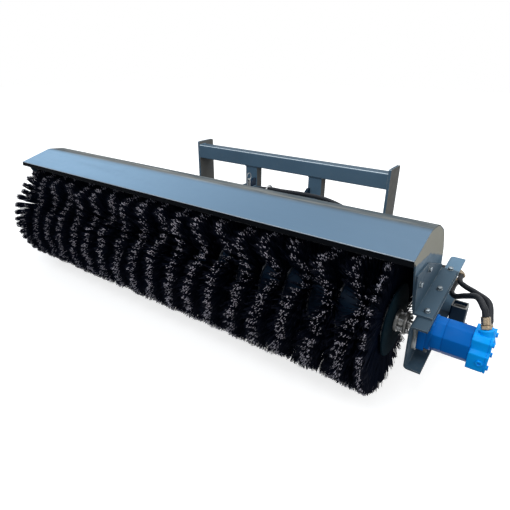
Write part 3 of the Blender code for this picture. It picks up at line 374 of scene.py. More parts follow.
def end_zones(paint):
    """Painted sunlight on the upper hood end plates, down to a painted shadow edge in two slopes.
    """
    def zones(f, body, streak):
        back = f.position("Y")
        # The border follows a cast shadow's edge, with painted sunlight above it.
        front_slope = 0.115 * (back + 0.831) - 0.480
        rear_slope = 0.41 * (back + 0.701) - 0.465
        ragged = 0.008 * f.noise(f.place(), 30.0, 3.0)
        edge = f.position("Z") + front_slope.larger(rear_slope) + ragged
        painted_sunlight = edge.between(0.000, 0.008)
        return f.mix(body, tuple(paint.painted_sunlight), painted_sunlight * 0.85), painted_sunlight
    return zones


def frame_zones(dust_and_sun_film, corner, shaded_top):
    """Painted light: sunlit sides facing +X, tops darkened as shade, glints on upper front corners.
    """
    def zones(f, body, streak):
        facing = f.node("ShaderNodeTexCoord", out="Normal")
        side, front, top = (f.node("ShaderNodeSeparateXYZ", None, {0: facing}, out=axis)
                            for axis in "XYZ")
        # Painted highlight: pale glints along the upper front corners.
        body = f.mix(body, corner, (front * top * -2.0).between(0.55, 0.90))
        # Painted shade: tops darker.
        body = f.mix(body, shaded_top, top.between(0.95, 0.99) * 0.8)
        # Painted sunlight: warm grey on sides facing +X, a little rougher there.
        sunlit_side = side.between(0.80, 0.95)
        return f.mix(body, dust_and_sun_film, sunlit_side * 0.9), sunlit_side * 0.4
    return zones


def sunlit_rear_zones(start, pale):
    """Painted shade in front, and painted sunlight, paler, from y = start to the rear."""
    def zones(f, body, streak):
        return f.mix(body, pale, f.position("Y").between(start, start + 0.012)), 0.0
    return zones


def rim_zones(level, bare):
    """A sawn edge left bare at the top of a tube."""
    def zones(f, body, streak):
        rim = f.position("Z").between(level - 0.0022, level - 0.0012)
        return f.mix(body, bare, rim), 0.0
    return zones


def plated(name, colour, roughness=0.34, stain=(0.16, 0.13, 0.09), brushed=None):
    """Zinc plated or machined steel with dull spots and grime in the corners."""
    f = Finish(name)
    where = f.place()
    cloud = f.noise(where, 26.0, 4.0, 0.6)
    lines = f.noise(where, 160.0, 2.0, 0.5, brushed)
    spangle = f.node("ShaderNodeTexVoronoi", None, {"Vector": where, "Scale": 210.0},
                     out="Distance")
    grime = cloud.between(0.52, 0.74)
    body = f.mix(shade(colour, 0.72), shade(colour, 1.18), lines)
    body = f.mix(body, stain, grime * 0.55)
    body = f.mix(body, shade(colour, 1.3), f.edges(0.0015) * 0.6)
    gloss = roughness + 0.22 * cloud.between(0.4, 0.7) + 0.06 * lines
    normal = f.bump(lines + spangle * 0.3, 0.00008, 0.5, f.rounded(0.0009))
    f.set(Base_Color=body, Roughness=gloss, Metallic=0.9 - 0.35 * grime, Normal=normal)


def worn_plate(name, colour, bare):
    """Dark mill scale, rubbed pale round the motor, with long scuffs and rust specks."""
    f = Finish(name)
    where = f.place()
    rust = (0.16, 0.075, 0.035)
    near = 1 - f.away((0.0, AXIS_Y, AXIS_Z), (0.0, 1.0, 1.0)).between(0.066, 0.086)
    scuff = f.noise(where, 30.0, 5.0, 0.65, (1.0, 1.0, 0.25))
    speck = f.noise(where, 140.0, 3.0, 0.6)
    rubbed = scuff.between(0.36, 0.58) * near
    body = f.mix(f.mix(colour, bare, rubbed), rust, speck.between(0.66, 0.74) * 0.5)
    normal = f.bump(scuff + speck * 0.3, 0.0002, 0.5, f.rounded(0.0015))
    f.set(Base_Color=body, Roughness=0.42 + 0.2 * speck, Metallic=rubbed * 0.5,
          Specular_IOR_Level=0.15, Normal=normal)


def bristle_plastic(look):
    """Black crimped plastic; grey cut ends in specks, partly a painted glint, dimmer at -X as
    painted shade.
    """
    f = Finish("bristle_plastic")
    along, tone, ridge = (f.attribute(name) for name in ("along", "tone", "ridge"))
    crimp = f.noise(f.place(), 260.0, 1.0)
    speck = f.noise(f.place(), 230.0, 1.0)
    drift = f.noise(f.place(), 14.0, 2.0)
    chance = 0.55 * speck + 0.45 * tone + 0.25 * drift
    # Specks only at ridge tips: the cut ends' grey, partly a painted glint where light catches.
    cut = along.between(0.955, 0.975) * ridge.between(0.02, 0.50) * chance.between(0.610, 0.670)
    worn = along.between(0.80, 1.0) * tone * 0.02
    # Painted shade: the specks dim towards -X.
    near = f.position("X").between(-0.95, 0.25)
    tip = f.mix(shade(look.tip, 0.42), tuple(look.tip), near)
    body = f.mix(tuple(look.colour), shade(look.colour, 2.0), crimp)
    body = f.mix(body, tip, worn.larger(cut))
    f.set(Base_Color=body, Roughness=0.70 + 0.2 * cut, Specular_IOR_Level=0.04,
          Normal=f.bump(crimp, 0.0002, 0.4))


def hose_cover(look):
    """Black hose cover with its cloth wrap marks and a fine dust."""
    f = Finish("hose_cover")
    wrap = f.node("ShaderNodeUVMap", {"uv_map": "run"})
    ribs = f.node("ShaderNodeTexWave", {"wave_type": "BANDS", "bands_direction": "DIAGONAL"},
                  {"Vector": wrap, "Scale": 1.0, "Distortion": 0.4, "Detail": 1.0}, out="Fac")
    dust = f.noise(f.place(), 60.0, 4.0, 0.6)
    body = f.mix(tuple(look.rubber), shade(look.rubber, 2.0, 0.004), ribs)
    body = f.mix(body, (0.10, 0.095, 0.09), dust.between(0.55, 0.8) * 0.20)
    f.set(Base_Color=body, Roughness=0.50 + 0.22 * dust, Specular_IOR_Level=0.22,
          Normal=f.bump(ribs, 0.0003, 0.5))


def weld_metal(colour):
    """Painted weld bead with a fine mottle. Its ripples are in its mesh."""
    f = Finish("weld_paint")
    spot = f.noise(f.place(), 120.0, 3.0, 0.6)
    body = f.mix(shade(colour, 0.75), shade(colour, 1.25), spot)
    f.set(Base_Color=body, Roughness=0.34 + 0.2 * spot, Specular_IOR_Level=0.35,
          Normal=f.bump(spot, 0.0004, 0.5))


def plain_black(name, colour, roughness, specular, dust=(0.11, 0.105, 0.095)):
    """Black oxide or moulded rubber: faintly mottled, with grey dust in its grain."""
    f = Finish(name)
    where = f.place()
    grain = f.noise(where, 240.0, 3.0, 0.6)
    dust_and_sun_film = f.noise(where, 30.0, 4.0, 0.6)
    body = f.mix(colour, shade(colour, 2.4, 0.003), grain)
    body = f.mix(body, dust, dust_and_sun_film.between(0.55, 0.80) * 0.18)
    f.set(Base_Color=body, Roughness=roughness + 0.2 * dust_and_sun_film, Specular_IOR_Level=specular,
          Normal=f.bump(grain, 0.0001, 0.5, f.rounded(0.0009)))


# Mesh tools

def piece(name, shape, body, finish, node=None, angle=35):
    """A finished bmesh as a smooth shaded object that rides on a body, in place of its node."""
    mesh = bpy.data.meshes.new(name)
    shape.to_mesh(mesh)
    shape.free()
    mesh.materials.append(bpy.data.materials[finish])
    mesh.shade_smooth()
    mesh.set_sharp_from_angle(angle=math.radians(angle))
    made = bpy.data.objects.new(name, mesh)
    bpy.context.scene.collection.objects.link(made)
    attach(made, body)
    if node:
        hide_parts(node)


def aimed(point, direction):
    """Local Z becomes the given direction, at the point."""
    turn = Vector(direction).to_track_quat("Z", "Y").to_matrix().to_4x4()
    return Matrix.Translation(point) @ turn


def near_axis(x, y=0.0, z=0.0):
    """A point given from the brush axis."""
    return Vector((x, AXIS_Y + y, AXIS_Z + z))


def along_x(x, turn=0.0, across=0.0, up=0.0):
    """On the brush axis at x, turned: local Z is world X, local X world Y and local Y world Z."""
    basis = Matrix(((0, 0, 1, 0), (1, 0, 0, 0), (0, 1, 0, 0), (0, 0, 0, 1)))
    return (Matrix.Translation(near_axis(x)) @ basis @ Matrix.Rotation(turn, 4, "Z")
            @ Matrix.Translation((across, up, 0.0)))


def full_turn(shape, parts, sides):
    """Spin these parts once round the local Z, and close what comes of it."""
    bmesh.ops.spin(shape, geom=parts, cent=(0, 0, 0), axis=(0, 0, 1), dvec=(0, 0, 0),
                   angle=2 * math.pi, steps=sides, use_merge=True, use_duplicate=False)
    bmesh.ops.remove_doubles(shape, verts=shape.verts, dist=0.00001)
    bmesh.ops.recalc_face_normals(shape, faces=shape.faces)


def spun(profile, place, sides=48):
    """A profile of radius and height, turned about local Z. Off the axis it closes on itself."""
    shape = bmesh.new()
    verts = [shape.verts.new((radius, 0.0, height)) for radius, height in profile]
    edges = [shape.edges.new(pair) for pair in zip(verts, verts[1:])]
    if profile[0][0] > 0 and profile[-1][0] > 0:
        edges.append(shape.edges.new((verts[-1], verts[0])))
    full_turn(shape, verts + edges, sides)
    bmesh.ops.transform(shape, matrix=place, verts=shape.verts)
    return shape


def torus(ring, wire, place):
    """A wire ring round local Z."""
    shape = bmesh.new()
    made = bmesh.ops.create_circle(shape, segments=14, radius=wire)["verts"]
    bmesh.ops.rotate(shape, verts=made, cent=(0, 0, 0),
                     matrix=Matrix.Rotation(math.radians(90), 3, "X"))
    bmesh.ops.translate(shape, verts=made, vec=(ring, 0, 0))
    full_turn(shape, made + shape.edges[:], 48)
    bmesh.ops.transform(shape, matrix=place, verts=shape.verts)
    return shape


def prism(corners, depth, place, bevel=0.0, segments=2, taper=1.0):
    """A flat outline pushed up its local Z, with its edges rounded and its top drawn in or out."""
    shape = bmesh.new()
    face = shape.faces.new([shape.verts.new((x, y, 0.0)) for x, y in corners])
    grown = bmesh.ops.extrude_face_region(shape, geom=[face])["geom"]
    top = [part for part in grown if isinstance(part, bmesh.types.BMVert)]
    bmesh.ops.translate(shape, verts=top, vec=(0, 0, depth))
    bmesh.ops.scale(shape, vec=(taper, taper, 1.0), verts=top)
    bmesh.ops.recalc_face_normals(shape, faces=shape.faces)
    if bevel:
        edges = [edge for edge in shape.edges if edge.calc_face_angle(0) > 0.5]
        bmesh.ops.bevel(shape, geom=edges, offset=bevel, segments=segments, profile=0.5,
                        affect="EDGES", material=-1, clamp_overlap=True)
    bmesh.ops.transform(shape, matrix=place, verts=shape.verts)
    return shape


def gathered(*shapes):
    """Several separate shapes as one."""
    whole = bmesh.new()
    for shape in shapes:
        mesh = bpy.data.meshes.new("part")
        shape.to_mesh(mesh)
        shape.free()
        whole.from_mesh(mesh)
        bpy.data.meshes.remove(mesh)
    return whole


def hexagon(across):
    """Corners of a hexagon, given across its flats."""
    reach = across / math.sqrt(3)
    return [(reach * math.cos(math.pi * k / 3), reach * math.sin(math.pi * k / 3))
            for k in range(6)]


def rounded_square(across, radius, steps=5):
    """A square outline with round corners."""
    corner = across / 2 - radius
    out = []
    for right, up, start in ((1, 1, 0), (-1, 1, 90), (-1, -1, 180), (1, -1, 270)):
        for k in range(steps + 1):
            turn = math.radians(start + 90 * k / steps)
            out.append((right * corner + radius * math.cos(turn),
                        up * corner + radius * math.sin(turn)))
    return out


def octagon(across, cut):
    """A square outline with its corners cut off."""
    w = across / 2
    return [(w, cut - w), (w, w - cut), (w - cut, w), (cut - w, w), (-w, w - cut), (-w, cut - w),
            (cut - w, -w), (w - cut, -w)]


def tube(points, radius, sides=16, swell=None):
    """A capped tube through points. Its UV map is its run and the way round it."""
    run = bpy.data.curves.new("tube", "CURVE")
    run.dimensions = "3D"
    run.bevel_depth = radius
    run.bevel_resolution = max(1, sides // 4 - 1)
    run.use_fill_caps = True
    line = run.splines.new("POLY")
    line.points.add(len(points) - 1)
    for i, (knot, point) in enumerate(zip(line.points, points)):
        knot.co = (*point, 1.0)
        knot.radius = swell(i) if swell else 1.0
    source = bpy.data.objects.new("tube", run)
    bpy.context.scene.collection.objects.link(source)
    bpy.context.view_layer.update()
    mesh = bpy.data.meshes.new_from_object(source)
    bpy.data.objects.remove(source)
    around = len(mesh.vertices) // len(points)
    shape = bmesh.new()
    shape.from_mesh(mesh)
    bpy.data.meshes.remove(mesh)
    travelled = [0.0]
    for a, b in zip(points, points[1:]):
        travelled.append(travelled[-1] + (Vector(b) - Vector(a)).length)
    layer = shape.loops.layers.uv.new("run")
    shape.verts.index_update()
    for face in shape.faces:
        for loop in face.loops:
            i = loop.vert.index
            gone = travelled[min(i // around, len(points) - 1)]
            loop[layer].uv = (gone * WRAPS_PER_METRE, (i % around) / around * WRAPS_ROUND)
    bmesh.ops.remove_doubles(shape, verts=shape.verts, dist=0.00002)
    bmesh.ops.recalc_face_normals(shape, faces=shape.faces)
    return shape


def smooth_route(points, spacing):
    """Evenly spaced points on a smooth curve through these, the same curve as the solids have."""
    guides = [Vector(p) for p in points]
    guides = [guides[0] * 2 - guides[1], *guides, guides[-1] * 2 - guides[-2]]
    dense = []
    for i in range(1, len(guides) - 2):
        a, b, c, d = guides[i - 1:i + 3]
        for k in range(40):
            t = k / 40
            dense.append(0.5 * (2 * b + (c - a) * t + (2 * a - 5 * b + 4 * c - d) * t * t
                                + (3 * b - a - 3 * c + d) * t ** 3))
    dense.append(guides[-2])
    gone = [0.0]
    for one, two in zip(dense, dense[1:]):
        gone.append(gone[-1] + (two - one).length)
    count = max(2, round(gone[-1] / spacing))
    marks = np.linspace(0, gone[-1], count + 1)
    spots = np.array([tuple(p) for p in dense])
    return [tuple(np.interp(m, gone, spots[:, i]) for i in range(3)) for m in marks]


def ports():
    """Middle of each port's face on the motor's port block, and the way it points."""
    middle = CAP_FACE + 0.025
    return {"top": (near_axis(middle, 0.004, 0.059), Vector((-0.30, 0.25, 0.92)).normalized()),
            "rear": (near_axis(middle, 0.059, 0.012), Vector((0.0, 0.94, 0.34)).normalized())}


# Finishes on the carried-over solids

class SWEEPER_OT_finishes(bpy.types.Operator):
    """Give every carried-over solid its paint, plating or rubber"""
    bl_idname = "sweeper.finishes"
    bl_label = "Finishes"

    def execute(self, context):
        paint = context.scene.sweeper_paint
        hose = context.scene.sweeper_hose
        slate, dark, blue = tuple(paint.slate), tuple(paint.dark), tuple(paint.blue)
        bare, dust = tuple(paint.bare), tuple(paint.dust)
        # Painted light on the frame: warm sunlit +X sides, pale corner glints, darker shaded tops.
        dust_and_sun_film, corner, shaded_top = (0.125, 0.116, 0.102), (0.62, 0.70, 0.76), shade(slate, 0.45)
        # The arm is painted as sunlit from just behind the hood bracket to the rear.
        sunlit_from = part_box("hood_bracket_right")[1].y + 0.004
        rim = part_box("stand_receiver_right")[1].z
        enamel("slate_enamel", slate, bare, dust, zones=frame_zones(dust_and_sun_film, corner, shaded_top))
        # Arm: slate darkened as painted shade, paler behind the bracket as painted sunlight.
        enamel("arm_enamel", shade(slate, 0.50), bare, dust,
               zones=sunlit_rear_zones(sunlit_from, shade(slate, 1.35)))
        # Hood brackets: slate darkened as painted shade.
        enamel("bracket_enamel", shade(slate, 0.60), bare, dust, dusty=0.5)
        enamel("hood_enamel", slate, bare, dust, roughness=0.38, wear=0.5, dusty=0.5,
               specular=0.05, zones=hood_zones(paint))
        enamel("hood_end_enamel", slate, bare, dust, zones=end_zones(paint))
        enamel("dark_enamel", dark, bare, dust, roughness=0.46, wear=0.5, dusty=0.2,
               specular=0.10)
        enamel("stand_enamel", dark, bare, dust, roughness=0.46, wear=0.5, dusty=0.2,
               specular=0.10, zones=rim_zones(rim, shade(bare, 0.9)))
        enamel("blue_enamel", blue, (0.05, 0.14, 0.34), dust, roughness=0.36, wear=0.3,
               dusty=0.04)
        # Port block: the motor's blue painted paler, as lit.
        enamel("sunlit_blue_enamel", tuple(paint.sunlit_blue), (0.10, 0.42, 0.80), dust, roughness=0.32,
               wear=0.3, dusty=0.04, specular=0.08)
        # A pale hem colour: a painted highlight along the hood's front fold.
        enamel("fold_highlight_enamel", (0.36, 0.42, 0.48), (0.55, 0.58, 0.60), dust)
        weld_metal(slate)
        worn_plate("worn_plate", (0.035, 0.050, 0.058), (0.48, 0.50, 0.50))
        plain_black("black_oxide", (0.010, 0.011, 0.013), 0.40, 0.4)
        plain_black("disc_black", (0.0020, 0.0075, 0.0120), 0.78, 0.02, (0.05, 0.08, 0.10))
        plain_black("moulded_rubber", (0.0016, 0.0022, 0.0028), 0.70, 0.06)
        plated("zinc_plate", (0.35, 0.36, 0.37))
        plated("turned_steel", (0.36, 0.36, 0.35), 0.28, brushed=(1.0, 0.1, 0.1))
        plated("yellow_zinc", tuple(hose.plating), 0.32)
        plated("bearing_bronze", (0.52, 0.33, 0.13), 0.3)
        hose_cover(hose)
        wears = {
            "slate_enamel": ("hitch", "pivot_lug", "pivot_tongue", "cross_tube", "lock_plate"),
            "arm_enamel": ("arm",), "bracket_enamel": ("hood_bracket",),
            "hood_enamel": ("hood_shell",), "hood_end_enamel": ("hood_side",),
            "dark_enamel": ("lug_gusset", "bearing_housing", "brush_core"),
            "stand_enamel": ("stand_receiver",), "blue_enamel": ("motor_body", "motor_end_cap"),
            "worn_plate": ("motor_mount_plate",), "disc_black": ("brush_disc",),
            "zinc_plate": ("lock_pin", "bracket_bolt", "stand_leg", "stand_screw", "hose_guide"),
            "turned_steel": ("motor_shaft", "pivot_pin", "coupling", "stub_shaft"),
            "yellow_zinc": ("motor_fitting", "elbow", "quick_coupler"),
            "bearing_bronze": ("pivot_bush",), "hose_cover": ("motor_hose", "supply_hose")}
        finishes = {start: finish for finish, starts in wears.items() for start in starts}
        for name, node in NODES.items():
            start = max((key for key in finishes if name.startswith(key)), key=len)
            node.data.materials.clear()
            node.data.materials.append(bpy.data.materials[finishes[start]])
        return {"FINISHED"}


SIDE = 0.42                       # how bristles are spread over a wafer's half width
LEAN, TUFT_LEAN = 0.012, 0.007    # how bristles and whole tufts lean round the brush, radians
GATHER, FLAT_GATHER = 0.42, 0.50  # how much a tuft draws together towards its tips
FOOT = 0.0022                     # how far off the wafer's middle a bristle's foot is
RIDGE = 0.40                      # share of a wafer's half width that its ridge takes
DISC_RIM = 0.15                   # from this radius the end bristles may stand past the discs
STEPS_PEAK = 1.38                 # peak of the three sines that make the wave


class SWEEPER_OT_brush(bpy.types.Operator):
    """Build the core tube and its wavy wafers of bristles in place of the plain brush"""
    bl_idname = "sweeper.brush"
    bl_label = "Brush"

    def execute(self, context):
        look = context.scene.sweeper_brush
        bristle_plastic(look)
        plated("channel_steel", (0.30, 0.31, 0.33), 0.4)
        place = aimed(near_axis(0.0), (1, 0, 0))
        outer, inner = look.root - 0.006, look.root - 0.014
        core = spun([(outer, BRUSH_END), (outer, -BRUSH_END), (inner, -BRUSH_END),
                     (inner, BRUSH_END)], place, 64)
        piece("brush_core_tube", core, "brush", "dark_enamel", "brush_core")

        # A flat wafer stands just inside each disc, and the wavy ones between the two
        end = BRUSH_END - 0.013
        last = end - 0.055
        places = [-end, *np.linspace(-last, last, look.wafers), end]
        high, low, half = look.root + 0.004, look.root - 0.008, 0.006
        channels = []
        chance = np.random.default_rng(11)
        each = len(places) // look.pieces
        for group in range(look.pieces):
            wafers = []
            for index in range(group * each, (group + 1) * each):
                x = float(places[index])
                channels.append(spun([(high, x + half), (high, x - half), (low, x - half),
                                      (low, x + half)], place, 40))
                wafers.append(self.wafer(look, x, index, chance, index in (0, len(places) - 1)))
            shape = gathered(*wafers)
            bmesh.ops.translate(shape, verts=shape.verts, vec=near_axis(0.0))
            piece("bristles_%d" % (group + 1), shape, "brush", "bristle_plastic",
                  angle=80)
        piece("bristle_channels", gathered(*channels), "brush", "channel_steel")
        return {"FINISHED"}

    def ring(self, look):
        """Bristles all round the core: one is shaped, then the ring is doubled until it is full."""
        shape = bmesh.new()
        reach = AXIS_Z - look.clearance - look.root
        bmesh.ops.create_cone(shape, cap_ends=True, segments=3, radius1=look.width / 2,
                              radius2=look.width / 2, depth=reach)
        bmesh.ops.translate(shape, verts=shape.verts, vec=(0, 0, look.root + reach / 2))
        bmesh.ops.bisect_plane(shape, geom=shape.verts[:] + shape.edges[:] + shape.faces[:],
                               plane_co=(0, 0, look.root + reach * 0.62), plane_no=(0, 0, 1))
        each = len(shape.verts)
        step = 2 * math.pi / (look.bristles * 2 ** look.doublings)
        for k in range(1, look.bristles):
            self.repeat(shape, shape.verts[:each], step * k)
        for k in range(look.doublings):
            self.repeat(shape, shape.verts[:], step * look.bristles * 2 ** k)
        return shape, each

    def repeat(self, shape, verts, turn):
        """Copy these bristles, turned about the brush axis."""
        edges = dict.fromkeys(edge for vert in verts for edge in vert.link_edges)
        faces = dict.fromkeys(face for vert in verts for face in vert.link_faces)
        copy = bmesh.ops.duplicate(shape, geom=[*verts, *edges, *faces])["geom"]
        fresh = [part for part in copy if isinstance(part, bmesh.types.BMVert)]
        bmesh.ops.rotate(shape, verts=fresh, cent=(0, 0, 0), matrix=Matrix.Rotation(turn, 3, "X"))
        shape.verts.ensure_lookup_table()

    def wafer(self, look, x, index, chance, flat):
        """One ring of bristles in tufts, swept into its wave, with the longest in its middle.

        The arrays have a row for each bristle and a column for each point along it.
        """
        shape, each = self.ring(look)
        mesh = bpy.data.meshes.new("wafer")
        shape.to_mesh(mesh)
        shape.free()
        count = len(mesh.vertices) // each
        spots = np.empty(len(mesh.vertices) * 3, np.float64)
        mesh.vertices.foreach_get("co", spots)
        spots = spots.reshape(count, each, 3)
        middle = spots.mean(axis=1)
        turn = np.arctan2(-middle[:, 1], middle[:, 2])[:, None]
        radius = np.hypot(spots[:, :, 1], spots[:, :, 2])
        along = np.clip((radius - look.root) / (AXIS_Z - look.clearance - look.root), 0, 1)
        tufts = look.flat_tufts if flat else look.tufts
        share = (turn / (2 * math.pi) + 0.37 * index) * tufts
        tuft = np.floor(share).astype(int) % tufts
        off = share - np.floor(share) - 0.5
        swing = 0.0 if flat else self.swing(look, turn, index)
        side = chance.normal(0, SIDE, (count, 1)).clip(-1.0, 1.0)
        lean = chance.normal(0, LEAN, (count, 1))
        lean = lean + chance.normal(0, TUFT_LEAN, (tufts, 1))[tuft[:, 0]]
        lean = lean - off * (2 * math.pi / tufts) * (FLAT_GATHER if flat else GATHER)
        short = chance.random((count, 1)) ** 2.0 * look.uneven
        short = short + chance.random((tufts, 1))[tuft[:, 0]] ** 2 * look.tuft_uneven
        short = short + look.valley * side ** 2 + look.tuft_round * (2 * off) ** 2
        reach = radius - along * short
        angle = np.arctan2(spots[:, :, 1], spots[:, :, 2]) - lean * along ** 2
        foot = chance.normal(0, FOOT, (count, 1))
        spread = look.flat_spread if flat else look.spread
        spots[:, :, 0] += x + foot + (swing + side * spread) * along ** 1.1
        spots[:, :, 1] = np.sin(angle) * reach
        spots[:, :, 2] = np.cos(angle) * reach
        edge = BRUSH_END + 0.010 * along * (reach > DISC_RIM)
        spots[:, :, 0] = np.clip(spots[:, :, 0], -edge, edge)
        mesh.vertices.foreach_set("co", spots.ravel())
        tone = np.repeat(chance.random((count, 1)), each, axis=1)
        ridge = np.repeat(np.clip(1.0 - np.abs(side) / RIDGE, 0, 1), each, axis=1)
        for name, values in (("along", along), ("tone", tone), ("ridge", ridge)):
            mesh.attributes.new(name, "FLOAT", "POINT").data.foreach_set(
                "value", values.astype(np.float32).ravel())
        made = bmesh.new()
        made.from_mesh(mesh)
        bpy.data.meshes.remove(mesh)
        return made

    def swing(self, look, turn, index):
        """How far a wafer's tips swing along the brush, less so in the wafers near its ends."""
        from_end = min(index, look.wafers + 1 - index)
        wave = look.wave * min(1.0, 0.60 + 0.13 * from_end)
        phase = look.waves * (turn - math.radians(44)) + 0.30 * math.sin(2.1 * index)
        steps = np.sin(phase) + 0.50 * np.sin(2 * phase) + 0.25 * np.sin(3 * phase)
        return wave * (steps / STEPS_PEAK + 0.12 * np.sin(7 * turn + 2.1 * index))


class SWEEPER_OT_coupling(bpy.types.Operator):
    """Build the bolted coupling flanges between the brush and the motor"""
    bl_idname = "sweeper.coupling"
    bl_label = "Coupling"

    def execute(self, context):
        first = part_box("coupling_brush_half")[0].x
        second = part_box("coupling_motor_half")[1].x
        bore, rim, thick, hub = 0.0128, 0.034, 0.011, 0.0208
        inner = spun([(bore, thick), (rim - 0.0018, thick), (rim, thick - 0.0018), (rim, 0.0018),
                      (rim - 0.0018, 0.0), (bore, 0.0)], aimed(near_axis(first), (1, 0, 0)))
        outer = spun([(bore, 0.0), (0.019, 0.0), (0.020, -0.0010), (rim - 0.002, -0.0010),
                      (rim, -0.0028), (rim, 0.0028 - thick), (rim - 0.0018, -thick),
                      (hub, -thick), (hub, -0.0262), (bore, -0.0262)],
                     aimed(near_axis(second), (1, 0, 0)))
        piece("coupling_inner_flange", inner, "brush", "turned_steel",
              "coupling_brush_half")
        piece("coupling_outer_flange", outer, "brush", "turned_steel",
              "coupling_motor_half")
        rods, bolts, circle = [], 6, 0.0268
        for k in range(bolts):
            turn = 2 * math.pi * (k + 0.3) / bolts
            y, z = circle * math.cos(turn), circle * math.sin(turn)
            for x, height in ((second - 0.0005, 0.0050), (first + thick - 0.0005, 0.0055),
                              (second - thick - 0.0050, 0.0055)):
                rods.append(prism(hexagon(0.0100), height, along_x(x, 0.0, y, z), 0.0005))
            rods.append(spun([(0.0, 0.016), (0.0033, 0.016), (0.0033, 0.0), (0.0, 0.0)],
                             along_x(first + thick, 0.0, y, z), 12))
        piece("coupling_bolts", gathered(*rods), "brush", "zinc_plate", angle=30)
        return {"FINISHED"}


class SWEEPER_OT_motor(bpy.types.Operator):
    """Build the motor's flange, faceted body and stepped port block"""
    bl_idname = "sweeper.motor"
    bl_label = "Motor"

    def execute(self, context):
        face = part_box("motor_body")[0].x
        piece("motor_body_castings", self.body(face), "broom", "blue_enamel",
              "motor_body", 30)
        # The port block takes the motor's blue painted paler as lit.
        piece("motor_port_block", self.block(), "broom", "sunlit_blue_enamel",
              "motor_end_cap", 30)
        screws = [self.socket_screw(along_x(face + 0.022, ARM_SLOPE, a, b), 0.0074, 0.0080)
                  for a in (-0.040, 0.040) for b in (-0.040, 0.040)]
        piece("motor_flange_screws", gathered(*screws), "broom", "black_oxide",
              angle=30)
        seat = aimed(near_axis(CAP_FACE + 0.031, -0.049, -0.018), (0, -1, 0))
        plug = spun([(0.0, 0.0004), (0.0044, 0.0004), (0.0048, 0.0044), (0.0080, 0.0044),
                     (0.0092, 0.0034), (0.0092, -0.0015), (0.0, -0.0015)], seat, 6)
        piece("motor_drain_plug", plug, "broom", "sunlit_blue_enamel", angle=20)
        return {"FINISHED"}

    def socket_screw(self, place, radius, height):
        """A cap screw with a deep socket."""
        return spun([(0.0, height * 0.35), (radius * 0.50, height * 0.35), (radius * 0.56, height),
                     (radius - 0.0008, height), (radius, height - 0.0008), (radius, -0.0004),
                     (0.0, -0.0004)], place, 28)

    def body(self, face):
        """Square flange, tapered neck and two faceted sections with a fine joint between them."""
        neck = face + 0.022
        joint = neck + 0.042
        section = octagon(0.0960, 0.0275)
        return gathered(
            prism(rounded_square(0.096, 0.013), 0.0212, along_x(face, ARM_SLOPE), 0.0018),
            prism(octagon(0.0945, 0.018), 0.015, along_x(neck - 0.0010, ARM_SLOPE), 0.0008,
                  taper=0.985),
            prism(section, joint - neck - 0.013, along_x(neck + 0.0130), 0.0014),
            prism(octagon(0.0928, 0.0265), 0.0020, along_x(joint - 0.0004)),
            prism(section, CAP_FACE - joint - 0.0024, along_x(joint + 0.0012), 0.0014),
            prism(octagon(0.0930, 0.0265), 0.0022, along_x(CAP_FACE - 0.0016)))

    def block(self):
        """Port block with its stepped front, end cover, port bosses and cover bolts."""
        half = 0.049
        outline = [(-0.043, -half), (0.043, -half), (half, -0.043), (half, 0.043), (0.043, half),
                   (-0.024, half), (-0.036, 0.038), (-0.037, 0.014), (-half, 0.004),
                   (-half, -0.043)]
        inset = [(x * 0.965, y * 0.965) for x, y in outline]
        shapes = [prism(outline, 0.0425, along_x(CAP_FACE), 0.0022, 3),
                  prism(inset, 0.0020, along_x(CAP_FACE + 0.0420)),
                  prism(outline, 0.0066, along_x(CAP_FACE + 0.0434), 0.0014)]
        for seat, out in ports().values():
            shapes.append(spun([(0.0, 0.0), (0.0165, 0.0), (0.0200, -0.0030), (0.0200, -0.040),
                                (0.0, -0.040)], aimed(seat, out)))
        for y, z in ((-0.034, -0.034), (0.034, -0.034), (0.034, 0.034), (-0.024, 0.034)):
            seat = along_x(CAP_FACE + 0.0496, 0.0, y, z)
            shapes.append(prism(hexagon(0.0130), 0.0056, seat, 0.0008))
        return gathered(*shapes)


